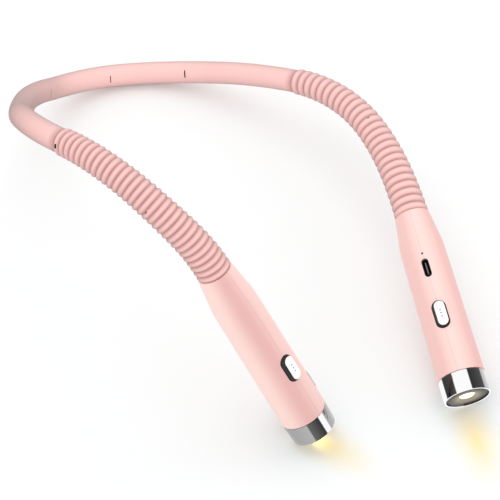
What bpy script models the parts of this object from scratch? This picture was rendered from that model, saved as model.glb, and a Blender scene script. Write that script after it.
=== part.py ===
"""A reading light worn round the neck: a smooth soft band, two ribbed flexible arms, and a
lamp head at the end of each arm.

Lengths are in metres and +Z is up. The lamps point towards -Y, and the object stands on the
back of its band and on the rims of both bezels. The origin is at the middle of its bounding
box, on the floor.

One centre line runs from the middle of the band out to each lamp's front. It is a chain of
circular arcs, given by the heading and the climb of the line at the end of each arc. Each arm
is divided at grooves between its ribs, where its joints are.
"""

import math

import bmesh
import bpy
import numpy as np
from mathutils import Matrix, Vector

# Lengths along the centre line
BAND_LENGTH = 0.336
LEFT_ARM_LENGTH = 0.102
RIGHT_ARM_LENGTH = 0.113
HEAD_LENGTH = 0.105

# Heading from +X towards +Y and climb above the floor, in degrees, at the middle of the band
# towards the left, and then at the end of each arc, outwards
MIDDLE_HEADING = 211
MIDDLE_CLIMB = 42
LEFT_BENDS = ((232, 40), (243, 45), (282, 15), (286, -8), (287, -24), (292, -37), (287, -55.5))
RIGHT_BENDS = ((332, -4), (296, 25), (291, 18), (279, 4), (262, -6), (251, -8), (246, -11.9))
BAND_ARCS = 3
ARM_ARCS = 4
LINE_STEPS = 480

# Where the middle of the band stands over the floor
MIDDLE_X = -0.0281
MIDDLE_Y = 0.1405

# Soft sleeves
BAND_RADIUS = 0.0062
BAND_RING_SPACING = 0.012
BAND_SIDES = 14
RIB_RADIUS_AT_BAND = 0.0070
RIB_RADIUS_AT_HEAD = 0.0091
RIB_DEPTH = 0.0009
LEFT_RIBS = 31
RIGHT_RIBS = 26
SLEEVE_SIDES = 10

# Flexible core and the cable in it
CORE_RADIUS = 0.0033
CORE_RING_SPACING = 0.006
CORE_IN_HEAD = 0.0088
CORE_SIDES = 8
DOME_ANGLES = (30, 50)
CABLE_RADIUS = 0.0011
CABLE_RING_SPACING = 0.0076
CABLE_IN_HEAD = 0.0235
CABLE_SIDES = 6

# Joints: where they stand along the half band and along the arm
BAND_JOINT_SHARE = 0.5
ARM_JOINT_SHARES = (0.13, 0.38, 0.63, 0.88)

# Gaps and cuts
CLEARANCE = 0.0003
END_RUN = 0.0008
OVERRUN = 0.002
MERGE = 0.00001

# Lamp head casing, measured along the head from the end of the ribs
NECK_RADIUS = 0.0092
SHOULDER_LENGTH = 0.016
SHOULDER_RADIUS = 0.0116
SHOULDER_SOFTENING = 0.0035
CASE_RADIUS = 0.0123
CASE_WALL = 0.0016
NECK_WALL = 0.0025
SPIGOT_LENGTH = 0.0075
SPIGOT_WALL = 0.0015
CASE_SEGMENTS = 24

# Chrome bezel
BEZEL_LENGTH = 0.0115
BEZEL_RADIUS = 0.0122
BEZEL_WALL = 0.0010
BEZEL_SEGMENTS = 32

# Front of the lamp
FACE_RECESS = 0.0006
FACE_THICKNESS = 0.0023
LENS_RADIUS = 0.0041
LENS_RECESS = 0.0010
LENS_THICKNESS = 0.0018
LENS_DOME = 0.0005
REFLECTOR_DEPTH = 0.0040
REFLECTOR_THROAT_RADIUS = 0.0029
LED_SIDE = 0.0035
LED_HEIGHT = 0.0010
LED_BOARD_THICKNESS = 0.0010
FRONT_SEGMENTS = 20

# Collar that holds the core in the neck of the casing
COLLAR_WALL = 0.0017
COLLAR_IN_SLEEVE = 0.0038
FLANGE_RADIUS = 0.0076
FLANGE_THICKNESS = 0.0020

# Circuit board, the rails that hold it, and the battery
BOARD_LEVEL = 0.0016
BOARD_THICKNESS = 0.0012
BOARD_WIDTH = 0.0150
BOARD_START = 0.0175
BOARD_END_TO_FRONT = 0.0175
RAIL_START = 0.0200
RAIL_TO_SIDE_BUTTON = 0.0050
RAIL_WALL = 0.0007
RAIL_GRIP = 0.0012
BATTERY_RADIUS = 0.0050
BATTERY_TO_SWITCH = 0.009
BATTERY_START = 0.027
BATTERY_CAP_RADIUS = 0.0020
BATTERY_CAP_HEIGHT = 0.0009

# Buttons and the switches under them
BUTTON_SHARE = 0.59
SIDE_BUTTON_TO_FRONT = 0.022
BUTTON_LENGTH = 0.0150
BUTTON_WIDTH = 0.0076
BUTTON_PROUD = 0.0016
BUTTON_ROUNDING = 0.0009
BUTTON_FLANGE_RIM = 0.0008
BUTTON_FLANGE_THICKNESS = 0.0007
BUTTON_STEM_RADIUS = 0.0010
SWITCH_SIDE = 0.0060
SWITCH_HEIGHT = 0.0035
SIDE_SWITCH_HEIGHT = 0.0030
PLUNGER_RADIUS = 0.0006
PLUNGER_PROUD = 0.0010
PLUNGER_SUNK = 0.0016
PLUNGER_WELL_DEPTH = 0.0026

# Charging port and indicator of the right head
PORT_SHARE = 0.335
PORT_CUTOUT_LENGTH = 0.0106
PORT_CUTOUT_WIDTH = 0.0038
PORT_LENGTH = 0.0090
PORT_WIDTH = 0.0032
PORT_WALL = 0.0003
PORT_RECESS = 0.0007
PORT_BACK = 0.0012
TONGUE_LENGTH = 0.0067
TONGUE_WIDTH = 0.0007
TONGUE_RECESS = 0.0012
INDICATOR_SHARE = 0.256
INDICATOR_RADIUS = 0.0005
INDICATOR_RECESS = 0.0004
PIN_SIDES = 12
SLOT_ARC_STEPS = 6

# Places along the head
BUTTON_PLACE = HEAD_LENGTH * BUTTON_SHARE
SIDE_BUTTON_PLACE = HEAD_LENGTH - SIDE_BUTTON_TO_FRONT
PORT_PLACE = HEAD_LENGTH * PORT_SHARE
INDICATOR_PLACE = HEAD_LENGTH * INDICATOR_SHARE
BOARD_END = HEAD_LENGTH - BOARD_END_TO_FRONT
RAIL_END = SIDE_BUTTON_PLACE - BUTTON_LENGTH / 2 - RAIL_TO_SIDE_BUTTON
BATTERY_END = SIDE_BUTTON_PLACE - SWITCH_SIDE / 2 - BATTERY_TO_SWITCH

# How each head is turned about its own axis, in degrees from straight up to its button, and
# from there to the left head's side button
LEFT_HEAD_ROLL = 1
RIGHT_HEAD_ROLL = 17
SIDE_BUTTON_TURN = -90

# Colour, roughness and metallic value of each material
FINISHES = {
    "pink_silicone": ((0.86, 0.50, 0.46), 0.55, 0.0),
    "pink_plastic": ((0.88, 0.54, 0.50), 0.42, 0.0),
    "chrome": ((0.85, 0.86, 0.88), 0.08, 1.0),
    "dark_plastic": ((0.06, 0.06, 0.06), 0.5, 0.0),
    "clear_plastic": ((0.95, 0.93, 0.85), 0.15, 0.0),
    "white_plastic": ((0.82, 0.82, 0.82), 0.35, 0.0),
    "steel": ((0.45, 0.46, 0.48), 0.35, 1.0),
    "nickel": ((0.62, 0.62, 0.60), 0.25, 1.0),
    "circuit_green": ((0.03, 0.20, 0.09), 0.5, 0.0),
    "aluminium": ((0.72, 0.73, 0.75), 0.35, 1.0),
    "yellow_phosphor": ((0.95, 0.75, 0.20), 0.4, 0.0),
    "battery_wrap": ((0.05, 0.15, 0.45), 0.4, 0.0),
    "cable_jacket": ((0.04, 0.04, 0.04), 0.6, 0.0),
}


# Scene, materials and placing

def clear_scene():
    for obj in list(bpy.data.objects):
        bpy.data.objects.remove(obj, do_unlink=True)


def new_collection(name):
    collection = bpy.data.collections.new(name)
    bpy.context.scene.collection.children.link(collection)
    return collection


def material(finish):
    """The Principled material of a finish, made once."""
    found = bpy.data.materials.get(finish)
    if found:
        return found
    colour, roughness, metallic = FINISHES[finish]
    made = bpy.data.materials.new(finish)
    made.use_nodes = True
    shader = made.node_tree.nodes["Principled BSDF"]
    shader.inputs["Base Color"].default_value = (*colour, 1.0)
    shader.inputs["Roughness"].default_value = roughness
    shader.inputs["Metallic"].default_value = metallic
    made.diffuse_color = (*colour, 1.0)
    return made


def add_part(obj, finish, parent):
    """Put a finished piece in the lamp's collection, under the empty that carries it."""
    PARTS.objects.link(obj)
    obj.data.materials.clear()
    obj.data.materials.append(material(finish))
    obj.parent = parent
    return obj


def add_cutter(obj, parent=None):
    CUTTERS.objects.link(obj)
    obj.parent = parent
    obj.hide_render = True
    obj.display_type = "WIRE"
    return obj


def add_empty(name, matrix, parent=None):
    """An empty at a place in the world, also when it has a parent."""
    empty = bpy.data.objects.new(name, None)
    empty.empty_display_size = CORE_RADIUS
    PARTS.objects.link(empty)
    empty.parent = parent
    above = WORLD_MATRICES[parent.name] if parent else Matrix.Identity(4)
    empty.matrix_local = above.inverted() @ matrix
    WORLD_MATRICES[name] = matrix
    return empty


def boolean(obj, tool, operation):
    modifier = obj.modifiers.new(f"{operation.lower()} {tool.name}", "BOOLEAN")
    modifier.operation = operation
    modifier.solver = "EXACT"
    modifier.object = tool


# Basic solids

def finished_mesh(name, work, smooth=True):
    """A mesh from a bmesh, with its faces pointing out and round faces shaded smooth."""
    bmesh.ops.recalc_face_normals(work, faces=work.faces)
    mesh = bpy.data.meshes.new(name)
    work.to_mesh(mesh)
    work.free()
    if smooth:
        mesh.shade_smooth()
        mesh.set_sharp_from_angle(angle=math.radians(40))
    return mesh


def block(name, low, high):
    """A box between its lowest and highest corners."""
    work = bmesh.new()
    bmesh.ops.create_cube(work, size=1)
    size = Vector(high) - Vector(low)
    bmesh.ops.scale(work, vec=size, verts=work.verts)
    bmesh.ops.translate(work, vec=Vector(low) + size / 2, verts=work.verts)
    return bpy.data.objects.new(name, finished_mesh(name, work, smooth=False))


def turned(name, profile, segments):
    """A solid turned about its own Z axis.

    The profile is a list of (radius, height), down the outer side and, if the piece is
    hollow, up the inner side. A solid one begins and ends on the axis.
    """
    hollow = profile[0][0] > 0
    work = bmesh.new()
    spots = [work.verts.new((radius, 0, height)) for radius, height in profile]
    for a, b in zip(spots, spots[1:]):
        work.edges.new((a, b))
    if hollow:
        work.edges.new((spots[-1], spots[0]))
    mesh = bpy.data.meshes.new(name)
    work.to_mesh(mesh)
    work.free()
    obj = bpy.data.objects.new(name, mesh)
    screw = obj.modifiers.new("turn", "SCREW")
    screw.axis = "Z"
    screw.steps = segments
    screw.render_steps = segments
    screw.use_smooth_shade = True
    screw.use_merge_vertices = True
    screw.merge_threshold = MERGE
    return obj


def meshed(curve_obj, name):
    """The mesh of a curve object, welded at its caps, in the curve's place."""
    bpy.context.scene.collection.objects.link(curve_obj)
    graph = bpy.context.evaluated_depsgraph_get()
    mesh = bpy.data.meshes.new_from_object(curve_obj.evaluated_get(graph))
    work = bmesh.new()
    work.from_mesh(mesh)
    bmesh.ops.remove_doubles(work, verts=work.verts, dist=MERGE)
    obj = bpy.data.objects.new(name, finished_mesh(name, work))
    obj.matrix_world = curve_obj.matrix_world.copy()
    bpy.data.meshes.remove(mesh)
    bpy.data.objects.remove(curve_obj, do_unlink=True)
    return obj


def tube(name, rings, sides, origin):
    """A round bar through rings, each a place and a radius, with its origin at a place."""
    curve = bpy.data.curves.new(name, "CURVE")
    curve.dimensions = "3D"
    curve.bevel_depth = 1
    curve.bevel_resolution = (sides - 4) // 2
    curve.use_fill_caps = True
    spline = curve.splines.new("POLY")
    spline.points.add(len(rings) - 1)
    for spot, (place, radius) in zip(spline.points, rings):
        spot.co = (*(place - origin), 1)
        spot.radius = radius
    return meshed(bpy.data.objects.new(name + "_curve", curve), name)


def slot_outline(length, width):
    """Points round a slot with round ends, its length along X."""
    radius = width / 2
    reach = length / 2 - radius
    outline = []
    for end in (1, -1):
        for step in range(SLOT_ARC_STEPS + 1):
            angle = math.pi * (step / SLOT_ARC_STEPS - 0.5)
            outline.append((end * (reach + radius * math.cos(angle)), end * radius * math.sin(angle)))
    return outline


def slot_slab(name, length, width, low, high, place):
    """A slot-shaped slab across a head: its length along Z, from one level of X to another."""
    curve = bpy.data.curves.new(name, "CURVE")
    curve.dimensions = "2D"
    curve.fill_mode = "BOTH"
    curve.extrude = (high - low) / 2
    outline = slot_outline(length, width)
    spline = curve.splines.new("POLY")
    spline.points.add(len(outline) - 1)
    spline.use_cyclic_u = True
    for spot, (x, y) in zip(spline.points, outline):
        spot.co = (x, y, 0, 1)
    obj = meshed(bpy.data.objects.new(name + "_curve", curve), name)
    obj.data.transform(Matrix.Rotation(math.radians(-90), 4, "Y"))
    obj.data.transform(Matrix.Translation(((low + high) / 2, 0, place)))
    return obj


def bar(name, radius, low, high, place, sides):
    """A round bar across a head, from one level of X to another."""
    work = bmesh.new()
    bmesh.ops.create_cone(
        work, cap_ends=True, segments=sides, radius1=radius, radius2=radius, depth=high - low
    )
    obj = bpy.data.objects.new(name, finished_mesh(name, work))
    obj.data.transform(Matrix.Rotation(math.radians(90), 4, "Y"))
    obj.data.transform(Matrix.Translation(((low + high) / 2, 0, place)))
    return obj


def outer_of(radius, sides):
    """Radius of a faceted bore that clears a round bar of a radius."""
    return (radius + CLEARANCE) / math.cos(math.pi / sides)


# The centre line

def direction(heading, climb):
    heading, climb = np.radians(heading), np.radians(climb)
    return np.array(
        [np.cos(climb) * np.cos(heading), np.cos(climb) * np.sin(heading), np.sin(climb)]
    )


class Side:
    """One side of the lamp. Distances are measured outwards from the middle of the band."""

    def __init__(self, name, heading, climb, bends, arm_length, ribs, roll):
        self.name = name
        self.ribs = ribs
        self.roll = math.radians(roll)
        self.arm_start = BAND_LENGTH / 2
        self.neck = self.arm_start + arm_length
        self.front = self.neck + HEAD_LENGTH
        self.pitch = arm_length / ribs
        arcs = [self.arm_start / BAND_ARCS] * BAND_ARCS + [arm_length / ARM_ARCS] * ARM_ARCS
        self.ends = np.cumsum([0] + arcs + [HEAD_LENGTH])
        self.headings = [heading] + [bend[0] for bend in bends] + [bends[-1][0]]
        self.climbs = [climb] + [bend[1] for bend in bends] + [bends[-1][1]]
        self.steps = np.linspace(0, self.front, LINE_STEPS + 1)
        middles = (self.steps[1:] + self.steps[:-1]) / 2
        moves = self.directions(middles).T * np.diff(self.steps)[:, None]
        self.points = np.vstack([np.zeros(3), np.cumsum(moves, axis=0)])

    def directions(self, distances):
        return direction(
            np.interp(distances, self.ends, self.headings),
            np.interp(distances, self.ends, self.climbs),
        )

    def underside(self):
        """The lowest height of the band on this side, from the line's own start."""
        on_band = self.steps <= self.arm_start
        climbs = np.radians(np.interp(self.steps, self.ends, self.climbs))
        return (self.points[:, 2] - BAND_RADIUS * np.cos(climbs))[on_band].min()

    def move(self, offset):
        self.points = self.points + offset

    def point(self, distance):
        return Vector([np.interp(distance, self.steps, column) for column in self.points.T])

    def tangent(self, distance):
        return Vector(self.directions(distance))

    def splits(self):
        """Distances of the joints: one in the band, the others at grooves of the arm."""
        grooves = [round(share * self.ribs) for share in ARM_JOINT_SHARES]
        return [self.arm_start * BAND_JOINT_SHARE] + [
            self.arm_start + groove * self.pitch for groove in grooves
        ]

    def upright(self, distance):
        """The direction square to the line that is nearest to straight up."""
        along = self.tangent(distance)
        up = Vector((0, 0, 1))
        return (up - along * up.dot(along)).normalized()


def lay_out_line():
    """Both sides of the centre line, set down so that the band's underside meets the floor."""
    left = Side(
        "left", MIDDLE_HEADING, MIDDLE_CLIMB, LEFT_BENDS, LEFT_ARM_LENGTH, LEFT_RIBS, LEFT_HEAD_ROLL
    )
    right = Side(
        "right",
        MIDDLE_HEADING + 180,
        -MIDDLE_CLIMB,
        RIGHT_BENDS,
        RIGHT_ARM_LENGTH,
        RIGHT_RIBS,
        RIGHT_HEAD_ROLL,
    )
    lift = -min(left.underside(), right.underside())
    for side in (left, right):
        side.move(np.array([MIDDLE_X, MIDDLE_Y, lift]))
    return left, right


def squared(rings, first_direction, last_direction):
    """Rings with short straight runs added at both ends, so that the ends are cut square."""
    (first, first_radius), (last, last_radius) = rings[0], rings[-1]
    return (
        [rings[0], (first + first_direction * END_RUN, first_radius)]
        + rings[1:-1]
        + [(last - last_direction * END_RUN, last_radius), rings[-1]]
    )


def plain_rings(side, start, end, spacing, radius_at):
    """Rings of a plain tube along one side, with square ends."""
    count = max(2, round((end - start) / spacing) + 1)
    rings = [
        (side.point(distance), radius_at(distance)) for distance in np.linspace(start, end, count)
    ]
    return squared(rings, side.tangent(start), side.tangent(end))


def across_rings(left, right, reach, spacing, radius):
    """Rings of a plain tube across the middle of the band, from the right to the left."""
    count = max(2, round(reach / spacing) + 1)
    distances = np.linspace(0, reach, count)
    rings = [(right.point(distance), radius) for distance in distances[::-1]]
    rings += [(left.point(distance), radius) for distance in distances[1:]]
    return squared(rings, -right.tangent(reach), left.tangent(reach))


def lengthened(rings):
    """The same rings, run on straight past both ends."""
    (first, first_radius), (second, _) = rings[0], rings[1]
    (last, last_radius), (before, _) = rings[-1], rings[-2]
    ahead = (first - second).normalized() * OVERRUN
    behind = (last - before).normalized() * OVERRUN
    return [(first + ahead, first_radius)] + rings + [(last + behind, last_radius)]


# Sleeves, cores and the cable

def arm_share(side, distance):
    return min(1, max(0, (distance - side.arm_start) / (side.neck - side.arm_start)))


def crest_radius(side, distance):
    share = arm_share(side, distance)
    return RIB_RADIUS_AT_BAND + (RIB_RADIUS_AT_HEAD - RIB_RADIUS_AT_BAND) * share


def sleeve_bore_radius(side, distance):
    """The bore fits the core at the band and widens to fit the collar at the neck."""
    at_band = outer_of(CORE_RADIUS, CORE_SIDES)
    at_neck = outer_of(outer_of(CORE_RADIUS, CORE_SIDES) + COLLAR_WALL, CORE_SIDES)
    return at_band + (at_neck - at_band) * arm_share(side, distance)


def rib_rings(side, start, end):
    """Rings of the ribbed stretch between two grooves: a groove and a crest for each rib."""
    count = round((end - start) / side.pitch)
    last = count - 1
    rings = []
    for rib in range(count):
        groove = start + rib * side.pitch
        crest = groove + side.pitch / 2
        groove_place, crest_place = side.point(groove), side.point(crest)
        if rib == 0:
            groove_place += side.tangent(groove) * CLEARANCE / 2
            crest_place = groove_place + side.tangent(groove) * side.pitch / 2
        if rib == last:
            crest_place = side.point(end) - side.tangent(end) * side.pitch / 2
        rings.append((groove_place, crest_radius(side, groove) - RIB_DEPTH))
        rings.append((crest_place, crest_radius(side, crest)))
    end_place = side.point(end) - side.tangent(end) * CLEARANCE / 2
    rings.append((end_place, crest_radius(side, end) - RIB_DEPTH))
    return rings


def smooth_rings(side, start):
    """Rings of the smooth stretch from a joint in the band to the first groove of the arm."""
    first = start + CLEARANCE / 2
    rings = plain_rings(side, first, side.arm_start, BAND_RING_SPACING, lambda _: BAND_RADIUS)
    return rings[:-1]


def bored(obj, rings, sides, origin, parent):
    """Cut a bore through a sleeve or a core."""
    cutter = add_cutter(tube(obj.name + "_bore", lengthened(rings), sides, origin), parent)
    boolean(obj, cutter, "DIFFERENCE")


def make_sleeve(side, number, start, end, pivot, parent):
    name = f"{side.name}_sleeve_{number}"
    if start < side.arm_start:
        rings = smooth_rings(side, start) + rib_rings(side, side.arm_start, end)
    else:
        rings = rib_rings(side, start, end)
    sleeve = add_part(tube(name, rings, SLEEVE_SIDES, pivot), "pink_silicone", parent)
    bore = plain_rings(
        side, start, end, CORE_RING_SPACING, lambda distance: sleeve_bore_radius(side, distance)
    )
    bored(sleeve, bore, CORE_SIDES, pivot, parent)


def dome_rings(place, along):
    """Rings of the round end of a core, past a joint."""
    rings = []
    for angle in DOME_ANGLES:
        angle = math.radians(angle)
        rings.append((place + along * CORE_RADIUS * math.sin(angle), CORE_RADIUS * math.cos(angle)))
    return rings


def core_bore_radius():
    return outer_of(CABLE_RADIUS, CABLE_SIDES)


def make_core(side, number, start, end, pivot, parent, has_dome):
    """A length of the flexible core, from just past one joint's dome to the next joint."""
    name = f"{side.name}_core_{number}"
    first = start + CORE_RADIUS * math.sin(math.radians(DOME_ANGLES[-1])) + 2 * CLEARANCE
    rings = plain_rings(side, first, end, CORE_RING_SPACING, lambda _: CORE_RADIUS)
    bore = plain_rings(side, first, end, CORE_RING_SPACING, lambda _: core_bore_radius())
    if has_dome:
        along = side.tangent(end)
        rings += dome_rings(side.point(end), along)
        bore.append((side.point(end) + along * CORE_RADIUS, core_bore_radius()))
    core = add_part(tube(name, rings, CORE_SIDES, pivot), "steel", parent)
    bored(core, bore, CABLE_SIDES, pivot, parent)


def make_band_back(left, right, parent):
    """The rigid middle of the band: its sleeve and the core in it."""
    reach = left.splits()[0]
    pivot = left.point(0)
    rings = across_rings(left, right, reach - CLEARANCE / 2, BAND_RING_SPACING, BAND_RADIUS)
    sleeve = add_part(tube("band_sleeve", rings, BAND_SIDES, pivot), "pink_silicone", parent)
    bore_radius = outer_of(CORE_RADIUS, CORE_SIDES)
    bored(
        sleeve,
        across_rings(left, right, reach, CORE_RING_SPACING, bore_radius),
        CORE_SIDES,
        pivot,
        parent,
    )
    rings = across_rings(left, right, reach, CORE_RING_SPACING, CORE_RADIUS)
    right_dome = dome_rings(right.point(reach), right.tangent(reach))
    rings = right_dome[::-1] + rings + dome_rings(left.point(reach), left.tangent(reach))
    core = add_part(tube("band_core", rings, CORE_SIDES, pivot), "steel", parent)
    bore = across_rings(left, right, reach, CORE_RING_SPACING, core_bore_radius())
    bore.insert(0, (right.point(reach) + right.tangent(reach) * CORE_RADIUS, core_bore_radius()))
    bore.append((left.point(reach) + left.tangent(reach) * CORE_RADIUS, core_bore_radius()))
    bored(core, bore, CABLE_SIDES, pivot, parent)


def make_cable(left, right, parent):
    """The cable from one head's circuit board to the other's, through the whole core."""
    rings = []
    for side, order in ((right, -1), (left, 1)):
        end = side.neck + CABLE_IN_HEAD
        count = round(end / CABLE_RING_SPACING) + 1
        row = [(side.point(distance), CABLE_RADIUS) for distance in np.linspace(0, end, count)]
        rings += row[::-1] if order < 0 else row[1:]
    add_part(tube("cable", rings, CABLE_SIDES, left.point(0)), "cable_jacket", parent)


# Lamp heads. Each piece is modelled in its head's own frame: Z runs along the head from the
# end of the ribs to the front, and +X is the side of the button.

def case_radius(place):
    """Outer radius of the casing between its shoulder and its bezel."""
    share = (place - SHOULDER_LENGTH) / (HEAD_LENGTH - BEZEL_LENGTH - SHOULDER_LENGTH)
    return SHOULDER_RADIUS + (CASE_RADIUS - SHOULDER_RADIUS) * share


def spigot_radius():
    return BEZEL_RADIUS - BEZEL_WALL - CLEARANCE


def face_back():
    """Where the back of the face plate lies along the head."""
    return HEAD_LENGTH - FACE_RECESS - FACE_THICKNESS


def collar_radius():
    return outer_of(CORE_RADIUS, CORE_SIDES) + COLLAR_WALL


def case_profile():
    """Wall of the whole casing, down its outer side from the spigot and up its inner side."""
    step = HEAD_LENGTH - BEZEL_LENGTH
    end = face_back() - CLEARANCE
    low, high = SHOULDER_LENGTH - SHOULDER_SOFTENING, SHOULDER_LENGTH + SHOULDER_SOFTENING
    low_share = low / SHOULDER_LENGTH
    low_radius = NECK_RADIUS + (SHOULDER_RADIUS - NECK_RADIUS) * low_share
    soft_radius = (low_radius + case_radius(high)) / 4 + SHOULDER_RADIUS / 2
    neck_share = NECK_WALL / SHOULDER_LENGTH
    inner_neck = NECK_RADIUS + (SHOULDER_RADIUS - NECK_RADIUS) * neck_share - CASE_WALL
    return [
        (spigot_radius(), end),
        (spigot_radius(), step),
        (CASE_RADIUS, step),
        (case_radius(high), high),
        (soft_radius, SHOULDER_LENGTH),
        (low_radius, low),
        (NECK_RADIUS, 0),
        (collar_radius() + CLEARANCE, 0),
        (collar_radius() + CLEARANCE, NECK_WALL),
        (inner_neck, NECK_WALL),
        (SHOULDER_RADIUS - CASE_WALL, high),
        (CASE_RADIUS - CASE_WALL, step - SPIGOT_LENGTH / 2),
        (spigot_radius() - SPIGOT_WALL, step),
        (spigot_radius() - SPIGOT_WALL, end),
    ]


def make_rail(name, sign):
    """A rail inside one half shell, and the slot in it for the edge of the circuit board."""
    board_top = BOARD_LEVEL + BOARD_THICKNESS
    half = BOARD_WIDTH / 2
    edges = sorted((sign * (half - RAIL_GRIP), sign * (case_radius(RAIL_START) - CASE_WALL / 2)))
    margin = RAIL_WALL + CLEARANCE
    rail = block(
        name + "_rail",
        (BOARD_LEVEL - margin, edges[0], RAIL_START),
        (board_top + margin, edges[1], RAIL_END),
    )
    ends = sorted((0, sign * (half + CLEARANCE)))
    slot = block(
        name + "_slot",
        (BOARD_LEVEL - CLEARANCE, ends[0], RAIL_START - OVERRUN),
        (board_top + CLEARANCE, ends[1], RAIL_END + OVERRUN),
    )
    return rail, slot


def make_case(side, frame, holes):
    """The two half shells of a head, which part along the line of its controls."""
    halves = {1: "outer", -1: "inner"} if side.name == "left" else {1: "inner", -1: "outer"}
    reach = CASE_RADIUS + OVERRUN
    for sign, half in halves.items():
        name = f"{side.name}_shell_{half}"
        shell = add_part(turned(name, case_profile(), CASE_SEGMENTS), "pink_plastic", frame)
        edges = sorted((-sign * reach, sign * CLEARANCE / 2))
        away = block(
            name + "_away",
            (-reach, edges[0], -OVERRUN),
            (reach, edges[1], HEAD_LENGTH + OVERRUN),
        )
        boolean(shell, add_cutter(away, frame), "DIFFERENCE")
        rail, slot = make_rail(name, sign)
        boolean(shell, add_cutter(rail, frame), "UNION")
        boolean(shell, add_cutter(slot, frame), "DIFFERENCE")
        for hole in holes:
            boolean(shell, hole, "DIFFERENCE")


def make_front(side, frame):
    """Bezel, face plate, lens, reflector and the board with its light-emitting diode."""
    inner = BEZEL_RADIUS - BEZEL_WALL
    back = HEAD_LENGTH - BEZEL_LENGTH + CLEARANCE
    bezel = [(BEZEL_RADIUS, HEAD_LENGTH), (BEZEL_RADIUS, back), (inner, back), (inner, HEAD_LENGTH)]
    add_part(turned(f"{side.name}_bezel", bezel, BEZEL_SEGMENTS), "chrome", frame)

    front = HEAD_LENGTH - FACE_RECESS
    hole = LENS_RADIUS + CLEARANCE
    face = [
        (inner - CLEARANCE, front),
        (inner - CLEARANCE, face_back()),
        (hole, face_back()),
        (hole, front),
    ]
    add_part(turned(f"{side.name}_face_plate", face, FRONT_SEGMENTS), "dark_plastic", frame)

    lens_front = HEAD_LENGTH - LENS_RECESS
    lens_back = lens_front - LENS_THICKNESS
    lens = [
        (0, lens_front),
        (LENS_RADIUS / 2, lens_front - LENS_DOME / 4),
        (LENS_RADIUS, lens_front - LENS_DOME),
        (LENS_RADIUS, lens_back),
        (0, lens_back),
    ]
    add_part(turned(f"{side.name}_lens", lens, FRONT_SEGMENTS), "clear_plastic", frame)

    top = face_back() - CLEARANCE
    bottom = top - REFLECTOR_DEPTH
    outer = spigot_radius() - SPIGOT_WALL - CLEARANCE
    reflector = [
        (outer, top),
        (outer, bottom),
        (REFLECTOR_THROAT_RADIUS, bottom),
        (REFLECTOR_THROAT_RADIUS, bottom + LED_HEIGHT + CLEARANCE),
        (LENS_RADIUS - CLEARANCE, top),
    ]
    add_part(turned(f"{side.name}_reflector", reflector, FRONT_SEGMENTS), "aluminium", frame)

    board_top = bottom - CLEARANCE
    board_bottom = board_top - LED_BOARD_THICKNESS
    board = [(0, board_top), (outer, board_top), (outer, board_bottom), (0, board_bottom)]
    add_part(turned(f"{side.name}_led_board", board, FRONT_SEGMENTS), "aluminium", frame)
    led_low = board_top + CLEARANCE
    half = LED_SIDE / 2
    led = block(f"{side.name}_led", (-half, -half, led_low), (half, half, led_low + LED_HEIGHT))
    add_part(led, "yellow_phosphor", frame)


def make_collar(side, frame):
    """The collar round the core, with a flange that the two shells hold."""
    inner, outer = outer_of(CORE_RADIUS, CORE_SIDES), collar_radius()
    low = NECK_WALL + CLEARANCE
    high = low + FLANGE_THICKNESS
    profile = [
        (FLANGE_RADIUS, high),
        (FLANGE_RADIUS, low),
        (outer, low),
        (outer, -COLLAR_IN_SLEEVE),
        (inner, -COLLAR_IN_SLEEVE),
        (inner, high),
    ]
    add_part(turned(f"{side.name}_collar", profile, FRONT_SEGMENTS), "nickel", frame)


def make_board_and_battery(side, frame):
    half = BOARD_WIDTH / 2
    board = block(
        f"{side.name}_circuit_board",
        (BOARD_LEVEL, -half, BOARD_START),
        (BOARD_LEVEL + BOARD_THICKNESS, half, BOARD_END),
    )
    add_part(board, "circuit_green", frame)
    top = BATTERY_END
    profile = [
        (0, top),
        (BATTERY_CAP_RADIUS, top),
        (BATTERY_CAP_RADIUS, top - BATTERY_CAP_HEIGHT),
        (BATTERY_RADIUS, top - BATTERY_CAP_HEIGHT),
        (BATTERY_RADIUS, BATTERY_START),
        (0, BATTERY_START),
    ]
    battery = turned(f"{side.name}_battery", profile, FRONT_SEGMENTS)
    battery.location.x = BOARD_LEVEL - CLEARANCE - BATTERY_RADIUS
    add_part(battery, "battery_wrap", frame)


def switch_top():
    return BOARD_LEVEL + BOARD_THICKNESS + CLEARANCE + SWITCH_HEIGHT


def button_foot():
    """Level of the button's stem, just above the plunger of its switch."""
    return switch_top() + PLUNGER_PROUD + CLEARANCE


def button_hole(name, frame, place):
    clear = 2 * CLEARANCE
    low = case_radius(place) / 2
    high = CASE_RADIUS + OVERRUN
    hole = slot_slab(name + "_hole", BUTTON_LENGTH + clear, BUTTON_WIDTH + clear, low, high, place)
    return add_cutter(hole, frame)


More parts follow.
